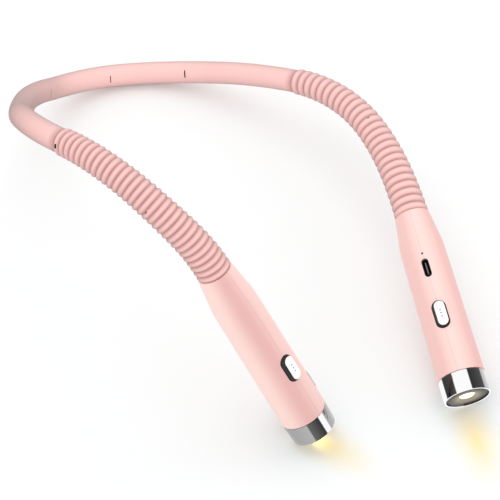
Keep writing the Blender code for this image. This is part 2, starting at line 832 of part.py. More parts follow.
def make_button(prefix, frame, place):
    """A button with its rim under the casing, and the switch plunger that it pushes.

    Both stand under an empty on the button's axis, at the surface of the casing.
    """
    name = f"{prefix}button"
    outside = case_radius(place)
    on_surface = Matrix.Translation((outside, 0, place))
    axis = add_empty(f"{name}_axis", WORLD_MATRICES[frame.name] @ on_surface, frame)
    rim_half = BUTTON_WIDTH / 2 + BUTTON_FLANGE_RIM
    inner_wall = math.sqrt((outside - CASE_WALL) ** 2 - rim_half**2)
    flange_top = inner_wall - 2 * CLEARANCE
    flange_low = flange_top - BUTTON_FLANGE_THICKNESS
    middle = (flange_low + flange_top) / 2
    cap = slot_slab(name, BUTTON_LENGTH, BUTTON_WIDTH, middle, outside + BUTTON_PROUD, place)
    rounding = cap.modifiers.new("round edges", "BEVEL")
    rounding.width = BUTTON_ROUNDING
    rounding.segments = 3
    rounding.limit_method = "ANGLE"
    rim = 2 * BUTTON_FLANGE_RIM
    flange = slot_slab(
        name + "_flange", BUTTON_LENGTH + rim, BUTTON_WIDTH + rim, flange_low, flange_top, place
    )
    stem = bar(name + "_stem", BUTTON_STEM_RADIUS, button_foot(), middle, place, PIN_SIDES)
    plunger = bar(
        f"{prefix}switch_plunger",
        PLUNGER_RADIUS,
        switch_top() - PLUNGER_SUNK,
        switch_top() + PLUNGER_PROUD,
        place,
        PIN_SIDES,
    )
    for obj in (cap, flange, stem, plunger):
        obj.data.transform(on_surface.inverted())
    for tool in (flange, stem):
        boolean(cap, add_cutter(tool, axis), "UNION")
    add_part(cap, "white_plastic", axis)
    add_part(plunger, "dark_plastic", axis)


def make_switch(prefix, frame, place, low, high):
    """A switch between two corners, with a well for its plunger."""
    switch = block(f"{prefix}switch", low, high)
    well = bar(
        f"{prefix}switch_well",
        outer_of(PLUNGER_RADIUS, PIN_SIDES),
        switch_top() - PLUNGER_WELL_DEPTH,
        switch_top() + OVERRUN,
        place,
        PIN_SIDES,
    )
    boolean(switch, add_cutter(well, frame), "DIFFERENCE")
    add_part(switch, "nickel", frame)


def make_controls(side, frame):
    """The button on the line of the casing's seam, and its switch on the circuit board."""
    half = SWITCH_SIDE / 2
    low = BOARD_LEVEL + BOARD_THICKNESS + CLEARANCE
    prefix = f"{side.name}_"
    make_switch(
        prefix,
        frame,
        BUTTON_PLACE,
        (low, -half, BUTTON_PLACE - half),
        (switch_top(), half, BUTTON_PLACE + half),
    )
    make_button(prefix, frame, BUTTON_PLACE)
    return button_hole(prefix + "button", frame, BUTTON_PLACE)


def make_side_controls(side, frame):
    """A second button a quarter turn from the first, its switch under the board's edge."""
    prefix = f"{side.name}_side_"
    turn = Matrix.Rotation(math.radians(SIDE_BUTTON_TURN), 4, "Z")
    turned_frame = add_empty(f"{prefix}frame", WORLD_MATRICES[frame.name] @ turn, frame)
    half = SWITCH_SIDE / 2
    under = BOARD_LEVEL - CLEARANCE
    make_switch(
        prefix,
        turned_frame,
        SIDE_BUTTON_PLACE,
        (switch_top() - SWITCH_HEIGHT, under - SIDE_SWITCH_HEIGHT, SIDE_BUTTON_PLACE - half),
        (switch_top(), under, SIDE_BUTTON_PLACE + half),
    )
    make_button(prefix, turned_frame, SIDE_BUTTON_PLACE)
    return button_hole(prefix + "button", turned_frame, SIDE_BUTTON_PLACE)


def port_holes(side, frame):
    """Holes in the casing for the charging port and for the indicator."""
    high = CASE_RADIUS + OVERRUN
    low = case_radius(PORT_PLACE) / 2
    slot = slot_slab(
        f"{side.name}_port_hole", PORT_CUTOUT_LENGTH, PORT_CUTOUT_WIDTH, low, high, PORT_PLACE
    )
    pin = bar(
        f"{side.name}_indicator_hole",
        outer_of(INDICATOR_RADIUS, PIN_SIDES),
        low,
        high,
        INDICATOR_PLACE,
        PIN_SIDES,
    )
    return [add_cutter(slot, frame), add_cutter(pin, frame)]


def make_port(side, frame):
    """The upright charging socket on the board, its tongue, and the indicator's light pipe."""
    low = BOARD_LEVEL + BOARD_THICKNESS + CLEARANCE
    mouth = case_radius(PORT_PLACE) - PORT_RECESS
    floor = low + PORT_BACK
    name = f"{side.name}_usb_socket"
    socket = slot_slab(name, PORT_LENGTH, PORT_WIDTH, low, mouth, PORT_PLACE)
    hollow = slot_slab(
        name + "_hollow",
        PORT_LENGTH - 2 * PORT_WALL,
        PORT_WIDTH - 2 * PORT_WALL,
        floor,
        mouth + OVERRUN,
        PORT_PLACE,
    )
    boolean(socket, add_cutter(hollow, frame), "DIFFERENCE")
    add_part(socket, "nickel", frame)
    tongue = block(
        f"{side.name}_usb_tongue",
        (floor + CLEARANCE, -TONGUE_WIDTH / 2, PORT_PLACE - TONGUE_LENGTH / 2),
        (mouth - TONGUE_RECESS, TONGUE_WIDTH / 2, PORT_PLACE + TONGUE_LENGTH / 2),
    )
    add_part(tongue, "dark_plastic", frame)
    pipe = bar(
        f"{side.name}_indicator",
        INDICATOR_RADIUS,
        low,
        case_radius(INDICATOR_PLACE) - INDICATOR_RECESS,
        INDICATOR_PLACE,
        PIN_SIDES,
    )
    add_part(pipe, "clear_plastic", frame)


def head_matrix(side):
    """The head's own frame: origin at the end of the ribs, Z along the head, +X its button."""
    along = side.tangent(side.neck)
    up = Matrix.Rotation(side.roll, 3, along) @ side.upright(side.neck)
    across = along.cross(up)
    turn = Matrix((up, across, along)).transposed().to_4x4()
    return Matrix.Translation(side.point(side.neck)) @ turn


def make_head(side, carrier, has_port):
    matrix = head_matrix(side)
    frame = add_empty(f"{side.name}_head_frame", matrix, carrier)
    holes = [make_controls(side, frame)]
    if has_port:
        holes += port_holes(side, frame)
        make_port(side, frame)
    else:
        holes.append(make_side_controls(side, frame))
    make_case(side, frame, holes)
    make_front(side, frame)
    make_collar(side, frame)
    make_board_and_battery(side, frame)


# The whole lamp

JOINT_NAMES = ("spread", "swing_1", "lift_1", "swing_2", "lift_2")


def make_side(side, root, has_port):
    """The moving lengths of one side, each under an empty on its joint, and the head."""
    splits = side.splits()
    carrier = root
    for number, start in enumerate(splits):
        pivot = side.point(start)
        empty_name = f"{side.name}_{JOINT_NAMES[number]}_pivot"
        carrier = add_empty(empty_name, Matrix.Translation(pivot), carrier)
        is_last = number == len(splits) - 1
        end = side.neck if is_last else splits[number + 1]
        make_sleeve(side, number + 1, start, end, pivot, carrier)
        core_end = side.neck + CORE_IN_HEAD if is_last else end
        make_core(side, number + 1, start, core_end, pivot, carrier, not is_last)
    make_head(side, carrier, has_port)


def main():
    left, right = lay_out_line()
    root = add_empty("band_middle", Matrix.Translation(left.point(0)))
    make_band_back(left, right, root)
    make_cable(left, right, root)
    make_side(left, root, has_port=False)
    make_side(right, root, has_port=True)
    return left, right


clear_scene()
PARTS = new_collection("neck_reading_light")
CUTTERS = new_collection("cutters")
WORLD_MATRICES = {}

if __name__ == "__main__":
    main()
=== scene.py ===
"""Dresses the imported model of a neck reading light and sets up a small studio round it.

Lengths are in metres, +Z is up, and the lamps point towards -Y. Each step is an operator in
the sidebar of the 3D view, and its sizes and colours are properties of the scene.
"""

import math
from contextlib import contextmanager

import bmesh
import bpy
import numpy as np
from bpy.props import FloatProperty, FloatVectorProperty, IntProperty, PointerProperty
from bpy.types import Operator, Panel, PropertyGroup
from mathutils import Matrix, Vector


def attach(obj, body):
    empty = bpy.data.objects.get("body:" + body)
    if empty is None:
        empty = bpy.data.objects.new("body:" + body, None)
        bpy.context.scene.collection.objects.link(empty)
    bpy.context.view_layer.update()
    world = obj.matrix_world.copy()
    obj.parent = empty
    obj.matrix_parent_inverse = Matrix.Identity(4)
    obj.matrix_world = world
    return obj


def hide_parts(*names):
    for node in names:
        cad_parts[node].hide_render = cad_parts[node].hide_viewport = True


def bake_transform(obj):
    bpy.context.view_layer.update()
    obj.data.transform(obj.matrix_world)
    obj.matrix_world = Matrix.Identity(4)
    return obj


bl_info = {
    "name": "Neck Reading Light",
    "version": (1, 0, 0),
    "blender": (4, 5, 0),
    "location": "3D View > Sidebar > Reading Light",
    "description": "Builds the visible pieces of a neck reading light and its studio",
    "category": "Object",
}

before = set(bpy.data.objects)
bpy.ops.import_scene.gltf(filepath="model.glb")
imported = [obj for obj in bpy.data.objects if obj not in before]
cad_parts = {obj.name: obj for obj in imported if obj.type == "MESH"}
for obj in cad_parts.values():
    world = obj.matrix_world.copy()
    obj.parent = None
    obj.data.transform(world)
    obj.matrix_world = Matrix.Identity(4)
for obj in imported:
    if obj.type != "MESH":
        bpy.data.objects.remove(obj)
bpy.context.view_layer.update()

# The centre line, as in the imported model: lengths, then heading from +X towards +Y and climb
# in degrees at the middle of the band and at the end of each arc, outwards
BAND_LENGTH = 0.336
ARM_LENGTHS = {"left": 0.102, "right": 0.113}
HEAD_LENGTH = 0.105
BENDS = {
    "left": (
        (211, 42), (232, 40), (243, 45), (282, 15), (286, -8), (287, -24), (292, -37), (287, -55.5),
    ),
    "right": (
        (391, -42), (332, -4), (296, 25), (291, 18), (279, 4), (262, -6), (251, -8), (246, -11.9),
    ),
}
BAND_MIDDLE = (-0.0281, 0.1405, 0.027951)
BAND_ARCS, ARM_ARCS = 3, 4
LINE_STEPS = 480
LINE_OVERHANG = 0.03

# Ribs: their number, the power of their curve, the places of the steps across one, and the share
# of the silicone's colour left in the grooves, as painted shade
RIBS = {"left": 31, "right": 26}
RIB_SHAPES = {"left": 1.5, "right": 2.0}
RIB_STEPS = (0.0, 0.07, 0.17, 0.32, 0.5, 0.68, 0.83, 0.93)
GROOVE_PAINTED_SHADE_SHARES = (0.50, 0.36, 0.36)

# Joints: the ribs they lie at, how far either side of each joint a point on the line is taken, and
# the bodies past them
SPLIT_RIBS = {"left": (4, 12, 20, 27), "right": (3, 10, 16, 23)}
BEND_REACHES = (0.046, 0.0125, 0.0125, 0.0095, 0.0125)
BODIES = ("arm_1", "arm_2", "arm_3", "arm_4", "head")

# Inside the sleeve: its bore at the band and at the head, the cable, and the steps along both
BORE_RADII = (0.0038, 0.0062)
CABLE_RADIUS, CABLE_SIDES = 0.0011, 12
BAND_STEP, CABLE_STEP = 0.004, 0.003

# Allowance when points are compared with a height
TOLERANCE = 0.0001

# Slits round the sleeve: distance, angle from straight up, length and width
SLITS = {
    "left": (
        (0.0135, -84, 0.0043, 0.0005), (0.1700, 66, 0.0026, 0.0010), (0.2246, 70, 0.0022, 0.0005),
    ),
    "right": (
        (0.0480, 60, 0.0043, 0.0005), (0.0955, 54, 0.0043, 0.0008), (0.2214, 9, 0.0016, 0.0005),
    ),
}
SLIT_DEPTH, SLIT_RISE = 0.0009, 0.001

# How each head is turned about its axis, in degrees from straight up to its button
ROLLS = {"left": 1.0, "right": 17.0}
SIDE_BUTTON_TURN = -90.0

# Places along a head, from the end of the ribs
BUTTON_PLACE = 0.06195
SIDE_BUTTON_PLACE = 0.083
PORT_PLACE = 0.035175
INDICATOR_PLACE = 0.02688
BEZEL_START = 0.0935

# Faces round the turned pieces of a head
CASING_SIDES, BEZEL_SIDES, FACE_SIDES, LENS_SIDES = 112, 128, 96, 64

# Softened edges: width, steps and the least angle of an edge that is softened
SOFT_EDGES = {
    "casing": (0.00018, 2, 50), "bezel": (0.00022, 3, 35), "face": (0.00012, 2, 35),
    "cap": (0.00045, 4, 60), "dots": (0.00006, 2, 35), "port": (0.00006, 2, 35),
}

# Openings in the casings: length and width, the gap round a button, how near the axis the cuts
# start and how far past the casing they end, and the casing's wall
PORT_HOLE = (0.0106, 0.0038)
PIN_HOLE = (0.00121, 0.0012)
BUTTON_GAP = 0.0006
CUT_START, CUT_PAST = 0.007, 0.002
CASE_WALL = 0.0016

# Charging port: length, width, low and high of its shell, its hollow and its tongue
PORT_SHELL = (0.0090, 0.0032, 0.0031, 0.0110)
PORT_HOLLOW = (0.0084, 0.0026, 0.0043, 0.0130)
PORT_TONGUE = (0.0067, 0.0007, 0.0046, 0.0102)

# Front of a head: bezel wall and gap, and where the casing's lip and the face disc lie
BEZEL_WALL, BEZEL_GAP = 0.0010, 0.0003
LIP_OUTER, LIP_INNER, LIP_END = 0.0109, 0.0094, 0.1018
FACE_BACK, FACE_FRONT = 0.1021, 0.1044

# Under a button, dark pieces that are painted shade in the gap round it and on its side: the
# skirt's foot, its rim (how much wider, from and to), how far it ends below the casing and laps
# over the wall on it, how far the wall ends below the button's top or, at the side button, above
# the casing, the gap under the cap, and where the casing starts to widen
SKIRT_FOOT, SKIRT_RIM, SKIRT_DROP = 0.0079, (0.0016, 0.0083, 0.0088), 0.0004
SKIRT_LAP, WALL_DROP, SIDE_WALL, CAP_GAP = 0.0002, 0.00055, 0.0010, 0.00002
SLOPE_START = 0.016

# Dots on a button: radius, height, spacing and how deep their middles lie
DOT_RADIUS, DOT_HEIGHT, DOT_SPACING, DOT_DEPTH = 0.00034, 0.00032, 0.0019, 0.00013

# How far ahead of each lens its painted light falls on the floor, and how far its painted glow
# reaches on the face
BEAM_AHEAD = {"left": 0.014, "right": 0.018}
GLOW_REACH = 0.0105

# Camera: place in metres, angles in degrees, lens and sensor in millimetres
CAMERA_PLACE = (-0.43505, -0.55902, 0.94377)
CAMERA_ELEVATION, CAMERA_AZIMUTH = 52.97, -38.09
CAMERA_LENS, CAMERA_SENSOR, CAMERA_FAR = 158.4, 36.0, 50

# Studio: lamps by place, size and the property with their power, and what they point at
LAMPS = {
    "overhead": ((0.1, 0.35, 1.1), (1.0, 1.0), "overhead"),
    "left side": ((-0.8, -0.65, 0.35), (0.5, 1.0), "sides"),
    "right side": ((0.95, -0.25, 0.45), (0.5, 1.0), "sides"),
}
LIGHT_MIDDLE = (0.0, 0.0, 0.04)
BEAM_ANGLE, BEAM_SOFTNESS, BEAM_RADIUS, BEAM_GAP = 75, 0.8, 0.003, 0.0005

# Floor: its colour and level, the extra light on it (change near the middle, level far off) and
# the painted patches of lamp light
FLOOR_SIZE, FLOOR_GAP, NEAR_REACH = 8, 0.0001, 1.2
FLOOR_COLOUR, FLOOR_LEVEL, FLOOR_LIFT = (0.975, 1, 1, 1), 0.80, (-0.11, 0.20)
PAINTED_PATCH_COLOUR, PAINTED_PATCH_REACH = (1.0, 0.83, 0.45, 1), (0.036, 0.016, 0.016)

# Painted reflections, as light and dark bands round each bezel: places in turns, 0.5 facing the
# camera and more to its right, and the share of the chrome's colour there
BEZEL_PAINTED_REFLECTIONS = {
    "left": (
        (0.0, 0.9), (0.06, 0.9), (0.07, 0.08), (0.13, 0.1), (0.14, 0.8), (0.24, 0.8), (0.25, 0.32),
        (0.471, 0.46), (0.475, 0.14), (0.564, 0.03), (0.568, 1.0), (0.608, 1.0), (0.612, 0.42),
        (0.75, 0.5), (0.76, 0.06), (0.85, 0.1), (0.86, 0.9), (1.0, 0.9),
    ),
    "right": (
        (0.0, 0.12), (0.04, 0.06), (0.05, 0.9), (0.16, 0.9), (0.17, 0.1), (0.22, 0.06), (0.23, 1.0),
        (0.348, 1.0), (0.352, 0.03), (0.438, 0.07), (0.442, 1.0), (0.546, 1.0), (0.550, 0.03),
        (0.646, 0.08), (0.650, 0.5), (0.76, 0.9), (0.77, 0.1), (1.0, 0.12),
    ),
}

# The same for the painted light and shade along the casings: places and shares of the lighter
# colour
CASING_PAINTED_LIGHT = {
    "left": (
        (0.0, 0.5), (0.25, 0.85), (0.33, 1.0), (0.375, 0.95), (0.417, 0.72), (0.46, 0.30),
        (0.50, 0.0), (0.545, 0.0), (0.585, 0.3), (0.635, 0.6), (0.75, 0.75), (1.0, 0.5),
    ),
    "right": (
        (0.0, 0.5), (0.25, 0.6), (0.36, 0.42), (0.41, 0.36), (0.45, 0.62), (0.50, 0.85),
        (0.54, 0.8), (0.583, 0.52), (0.635, 0.15), (0.70, 0.1), (0.80, 0.4), (1.0, 0.5),
    ),
}


class ReadingLightSizes(PropertyGroup):
    """Sizes of the visible pieces."""

    band_radius: FloatProperty(
        name="Band Radius", description="Outer radius of the smooth band", default=0.0062,
        min=0.004, unit="LENGTH",
    )
    rib_radius_band: FloatProperty(
        name="First Rib", description="Radius of the rib nearest the band", default=0.0070,
        min=0.004, unit="LENGTH",
    )
    rib_radius_head: FloatProperty(
        name="Last Rib", description="Radius of the rib nearest the head", default=0.0091,
        min=0.004, unit="LENGTH",
    )
    rib_depth: FloatProperty(
        name="Rib Depth", description="Depth of the grooves between ribs", default=0.0009,
        min=0.0002, unit="LENGTH",
    )
    sleeve_sides: IntProperty(
        name="Sleeve Sides", description="Faces round the band and arms", default=56, min=16
    )
    neck_radius: FloatProperty(
        name="Neck Radius", description="Radius of a head where the ribs end", default=0.0092,
        min=0.006, unit="LENGTH",
    )
    shoulder_radius: FloatProperty(
        name="Shoulder Radius", description="Radius of a head past its neck", default=0.0116,
        min=0.007, unit="LENGTH",
    )
    case_radius: FloatProperty(
        name="Case Radius", description="Radius of a head at its bezel", default=0.0123,
        min=0.007, unit="LENGTH",
    )
    seam: FloatProperty(
        name="Seam", description="Width of the seam between the two shells", default=0.00016,
        min=0.00005, unit="LENGTH",
    )
    bezel_radius: FloatProperty(
        name="Bezel Radius", description="Outer radius of the bezel", default=0.0122,
        min=0.007, unit="LENGTH",
    )
    button_length: FloatProperty(
        name="Button Length", description="Length of a button", default=0.0150,
        min=0.008, unit="LENGTH",
    )
    button_width: FloatProperty(
        name="Button Width", description="Width of a button", default=0.0070,
        min=0.004, unit="LENGTH",
    )
    button_proud: FloatProperty(
        name="Button Height", description="How far a button stands out", default=0.0018,
        min=0.0005, unit="LENGTH",
    )
    button_taper: FloatProperty(
        name="Button Taper", description="How far a button's sides draw in", default=0.0008,
        min=0, unit="LENGTH",
    )
    button_lean: FloatProperty(
        name="Button Lean", description="How far a cap is set to one side", default=0.0005,
        min=0, unit="LENGTH",
    )
    lens_radius: FloatProperty(
        name="Lens Radius", description="Radius of the lens", default=0.0041,
        min=0.002, unit="LENGTH",
    )


class ReadingLightColours(PropertyGroup):
    """Colours of the finishes."""

    silicone: FloatVectorProperty(
        name="Silicone", description="Band and arms", subtype="COLOR", size=3,
        default=(0.93, 0.585, 0.555), min=0, max=1,
    )
    # The casing colour is the painted shade of the bands along the heads, and the lighter colour
    # after it their painted light
    casing: FloatVectorProperty(
        name="Casing", description="Shells of the heads", subtype="COLOR", size=3,
        default=(0.78, 0.455, 0.43), min=0, max=1,
    )
    casing_painted_light: FloatVectorProperty(
        name="Casing Painted Light", description="Lighter bands along the heads", subtype="COLOR", size=3,
        default=(0.97, 0.70, 0.65), min=0, max=1,
    )
    chrome: FloatVectorProperty(
        name="Chrome", description="Bezels", subtype="COLOR", size=3,
        default=(0.97, 0.97, 0.98), min=0, max=1,
    )
    face: FloatVectorProperty(
        name="Face", description="Disc round the lens", subtype="COLOR", size=3,
        default=(0.035, 0.035, 0.034), min=0, max=1,
    )
    button: FloatVectorProperty(
        name="Button", description="Caps of the buttons", subtype="COLOR", size=3,
        default=(0.94, 0.94, 0.93), min=0, max=1,
    )
    lamp: FloatVectorProperty(
        name="Lamp", description="Light of the lamps", subtype="COLOR", size=3,
        default=(1.0, 0.86, 0.50), min=0, max=1,
    )


class ReadingLightStudio(PropertyGroup):
    """Levels of the studio's lights."""

    surround: FloatProperty(
        name="Surround", description="Level of the light from all sides", default=1.0, min=0
    )
    overhead: FloatProperty(
        name="Overhead", description="Power of the lamp overhead", default=2.6, min=0,
        unit="POWER",
    )
    sides: FloatProperty(
        name="Sides", description="Power of each side lamp", default=1.0, min=0, unit="POWER"
    )
    beam: FloatProperty(
        name="Beam", description="Power of each head's beam", default=0.004, min=0, unit="POWER"
    )


def piece_sizes():
    return bpy.context.scene.reading_light_sizes


def finish_colours():
    return bpy.context.scene.reading_light_colours


# Modelling steps shared by the pieces

def start_fresh():
    if bpy.context.mode != "OBJECT":
        bpy.ops.object.mode_set(mode="OBJECT")
    bpy.ops.object.select_all(action="DESELECT")


def pick(obj):
    start_fresh()
    obj.select_set(True)
    bpy.context.view_layer.objects.active = obj


@contextmanager
def editing(obj):
    """Edit mode on one object, with everything in it selected at first."""
    pick(obj)
    bpy.ops.object.mode_set(mode="EDIT")
    bpy.ops.mesh.select_mode(type="VERT")
    bpy.ops.mesh.select_all(action="SELECT")
    yield
    bpy.ops.object.mode_set(mode="OBJECT")


def select_points(obj, wanted):
    """Select the points of a mesh in edit mode whose places pass a test."""
    work = bmesh.from_edit_mesh(obj.data)
    for vert in work.verts:
        vert.select = bool(wanted(vert.co))
    work.select_flush_mode()
    bmesh.update_edit_mesh(obj.data)


def apply_modifier(obj, modifier):
    pick(obj)
    bpy.ops.object.modifier_apply(modifier=modifier.name)


def soften_edges(obj, width, segments, angle):
    modifier = obj.modifiers.new("soft edges", "BEVEL")
    modifier.width = width
    modifier.segments = segments
    modifier.limit_method = "ANGLE"
    modifier.angle_limit = math.radians(angle)
    modifier.harden_normals = False
    apply_modifier(obj, modifier)


def cut(obj, tool, keep_tool=False, operation="DIFFERENCE"):
    modifier = obj.modifiers.new("cut", "BOOLEAN")
    modifier.operation = operation
    modifier.solver = "EXACT"
    if tool.data.materials:
        modifier.material_mode = "TRANSFER"
    modifier.object = tool
    apply_modifier(obj, modifier)
    if not keep_tool:
        bpy.data.objects.remove(tool, do_unlink=True)


def smooth(obj, angle=32):
    pick(obj)
    bpy.ops.object.shade_smooth_by_angle(angle=math.radians(angle))


def place(obj, matrix):
    """Move a piece to its place and put that place in its mesh."""
    pick(obj)
    obj.matrix_world = matrix
    bpy.ops.object.transform_apply(location=True, rotation=True, scale=True)


def name_piece(name):
    obj = bpy.context.object
    obj.name = name
    obj.data.name = name
    return obj


def turned(name, profile, segments, hollow=True):
    """A piece turned about Z: a ring drawn out and resized along (radius, height) steps."""
    start_fresh()
    radius, height = profile[0]
    bpy.ops.mesh.primitive_circle_add(vertices=segments, radius=radius, location=(0, 0, height))
    obj = name_piece(name)
    with editing(obj):
        for next_radius, next_height in profile[1:]:
            rise = next_height - height
            bpy.ops.mesh.extrude_region_move(TRANSFORM_OT_translate={"value": (0, 0, rise)})
            share = next_radius / radius
            bpy.ops.transform.resize(
                value=(share, share, 1), center_override=(0, 0, next_height)
            )
            radius, height = next_radius, next_height
        bpy.ops.mesh.select_all(action="DESELECT")
        bpy.ops.mesh.select_non_manifold()
        if hollow:
            bpy.ops.mesh.bridge_edge_loops()
        else:
            bpy.ops.mesh.fill_holes(sides=0)
        bpy.ops.mesh.select_all(action="SELECT")
        bpy.ops.mesh.normals_make_consistent(inside=False)
    place(obj, obj.matrix_world.copy())
    return obj


def capsule(name, length, width, low, high, segments=42, taper=0):
    """A slab with round ends: length along Y, width along X, standing from low to high.

    Its sides draw in by the taper at the top.
    """
    start_fresh()
    bpy.ops.mesh.primitive_circle_add(
        vertices=segments, radius=width / 2, fill_type="NGON", location=(0, 0, low)
    )
    obj = name_piece(name)
    stretch = (length - width) / 2
    with editing(obj):
        for sign in (1, -1):
            select_points(obj, lambda co, sign=sign: co.y * sign > 0)
            bpy.ops.transform.translate(value=(0, sign * stretch, 0))
        bpy.ops.mesh.select_all(action="SELECT")
        bpy.ops.mesh.extrude_region_move(TRANSFORM_OT_translate={"value": (0, 0, high - low)})
        shares = (1 - 2 * taper / width, 1 - 2 * taper / length, 1)
        bpy.ops.transform.resize(value=shares, center_override=(0, 0, high))
        bpy.ops.mesh.select_all(action="SELECT")
        bpy.ops.mesh.normals_make_consistent(inside=False)
    place(obj, obj.matrix_world.copy())
    return obj


# A control stands across its head: its height becomes X, its length Z
ACROSS_HEAD = Matrix(((0, 0, 1, 0), (1, 0, 0, 0), (0, 1, 0, 0), (0, 0, 0, 1)))


def control_place(head, position):
    """Where a control stands, from its head's frame and its place along the head."""
    return head @ Matrix.Translation((0, 0, position)) @ ACROSS_HEAD


# The centre line

class Line:
    """One side of the light's centre line. Distances run outwards from the band's middle."""

    def __init__(self, side):
        self.side = side
        self.band_end = BAND_LENGTH / 2
        self.neck = self.band_end + ARM_LENGTHS[side]
        self.pitch = ARM_LENGTHS[side] / RIBS[side]
        arcs = [self.band_end / BAND_ARCS] * BAND_ARCS
        arcs += [ARM_LENGTHS[side] / ARM_ARCS] * ARM_ARCS
        self.ends = np.cumsum([0] + arcs)
        self.steps = np.linspace(0, self.neck + LINE_OVERHANG, LINE_STEPS + 1)
        middles = (self.steps[1:] + self.steps[:-1]) / 2
        moves = self.directions(middles).T * np.diff(self.steps)[:, None]
        self.points = np.array(BAND_MIDDLE) + np.vstack([np.zeros(3), np.cumsum(moves, axis=0)])

    def directions(self, distances):
        headings, climbs = zip(*BENDS[self.side])
        heading = np.radians(np.interp(distances, self.ends, headings))
        climb = np.radians(np.interp(distances, self.ends, climbs))
        flat = np.cos(climb)
        return np.array([flat * np.cos(heading), flat * np.sin(heading), np.sin(climb)])

    def point(self, distance):
        return Vector([np.interp(distance, self.steps, column) for column in self.points.T])

    def tangent(self, distance):
        return Vector(self.directions(distance))

    def joints(self):
        grooves = [self.band_end + rib * self.pitch for rib in SPLIT_RIBS[self.side]]
        return [self.band_end / 2] + grooves

    def seams(self):
        """Where the sleeve's pieces meet: halfway between joints, at a groove in the ribs."""
        joints = self.joints()
        ribs = SPLIT_RIBS[self.side]
        halfway = [self.band_end + (a + b) // 2 * self.pitch for a, b in zip(ribs, ribs[1:])]
        return [0, (joints[0] + joints[1]) / 2] + halfway + [self.neck]

    def head_matrix(self):
        """The head's frame: Z along the head from the end of the ribs, +X out at its button."""
        along = self.tangent(self.neck)
        up = (Vector((0, 0, 1)) - along * along.z).normalized()
        up = Matrix.Rotation(math.radians(ROLLS[self.side]), 3, along) @ up
        turn = Matrix((up, along.cross(up), along)).transposed().to_4x4()
        return Matrix.Translation(self.point(self.neck)) @ turn


LINES = {side: Line(side) for side in ("left", "right")}


def line_curve(line):
    """A curve object along one side, that pieces are bent onto."""
    curve = bpy.data.curves.new(f"{line.side}_line", "CURVE")
    curve.dimensions = "3D"
    spline = curve.splines.new("POLY")
    spline.points.add(len(line.points) - 1)
    for spot, point in zip(spline.points, line.points):
        spot.co = (*point, 1)
    obj = bpy.data.objects.new(f"{line.side}_line", curve)
    bpy.context.scene.collection.objects.link(obj)
    return obj


def bend_onto(obj, curve):
    modifier = obj.modifiers.new("bend", "CURVE")
    modifier.object = curve
    modifier.deform_axis = "POS_Z"
    apply_modifier(obj, modifier)


# Materials

def new_material(name):
    """A material, its node tree and the sockets of its shader."""
    made = bpy.data.materials.new(name)
    made.use_nodes = True
    return made, made.node_tree, made.node_tree.nodes["Principled BSDF"].inputs


def feed(tree, sockets, values):
    """Give sockets their values, or link other nodes' outputs to them."""
    for key, value in values.items():
        if isinstance(value, bpy.types.NodeSocket):
            tree.links.new(value, sockets[key])
        else:
            sockets[key].default_value = value


def node(tree, kind, values=None, **settings):
    """A node with its settings and what goes into its sockets, by their names or numbers."""
    made = tree.nodes.new(f"ShaderNode{kind}")
    for key, setting in settings.items():
        setattr(made, key, setting)
    feed(tree, made.inputs, values or {})
    return made


def calculate(tree, operation, *values):
    return node(tree, "Math", dict(enumerate(values)), operation=operation).outputs[0]


def combine(tree, operation, output, values):
    return node(tree, "VectorMath", values, operation=operation).outputs[output]


def mix(tree, share, first, second):
    """A colour mixed from two, by the share of the second."""
    values = {"Factor": share, 6: first, 7: second}
    return node(tree, "Mix", values, data_type="RGBA").outputs[2]


def places(tree, obj=None):
    """Where a point lies in an object's own coordinates."""
    return node(tree, "TexCoord", object=obj).outputs["Object"]


FLOAT, VECTOR, COLOUR = "NodeSocketFloat", "NodeSocketVector", "NodeSocketColor"
KINDS = {1: FLOAT, 3: VECTOR, 4: COLOUR}


def shared_group(name, inputs, outputs, build):
    """A shader node group with named sockets, built when it is first asked for.

    Inputs come with their values, outputs with the kind of their sockets.
    """
    found = bpy.data.node_groups.get(name)
    if found:
        return found
    group = bpy.data.node_groups.new(name, "ShaderNodeTree")
    for socket, value in inputs.items():
        kind = KINDS[np.size(value)]
        made = group.interface.new_socket(socket, in_out="INPUT", socket_type=kind)
        made.default_value = value
    for socket, kind in outputs.items():
        group.interface.new_socket(socket, in_out="OUTPUT", socket_type=kind)
    results = build(group, group.nodes.new("NodeGroupInput").outputs)
    feed(group, group.nodes.new("NodeGroupOutput").inputs, results)
    return group


def moulded_surface():
    """Slow changes of shade and a fine grain, as on moulded plastic and silicone."""

    def build(tree, given):
        spots = places(tree)
        values = {"Vector": spots, "Scale": 38.0, "Detail": 3.0, "Roughness": 0.5}
        slow = node(tree, "TexNoise", values).outputs["Fac"]
        change = calculate(tree, "SUBTRACT", slow, 0.5)
        change = calculate(tree, "MULTIPLY", change, given["Shade Change"])
        level = calculate(tree, "ADD", change, 1.0)
        scale = calculate(tree, "DIVIDE", 1.0, given["Grain Size"])
        values = {"Vector": spots, "Scale": scale, "Detail": 2.0, "Roughness": 0.6}
        grain = node(tree, "TexNoise", values).outputs["Fac"]
        values = {"Strength": given["Grain Depth"], "Distance": 0.00005, "Height": grain}
        return {
            "Colour": combine(tree, "SCALE", 0, {0: given["Colour"], "Scale": level}),
            "Roughness": calculate(tree, "MULTIPLY_ADD", grain, 0.10, given["Roughness"]),
            "Normal": node(tree, "Bump", values).outputs["Normal"],
        }

    inputs = {
        "Colour": (0.8, 0.8, 0.8, 1), "Roughness": 0.4, "Shade Change": 0.04,
        "Grain Size": 0.0006, "Grain Depth": 0.02,
    }
    outputs = {"Colour": COLOUR, "Roughness": FLOAT, "Normal": VECTOR}
    return shared_group("moulded surface", inputs, outputs, build)


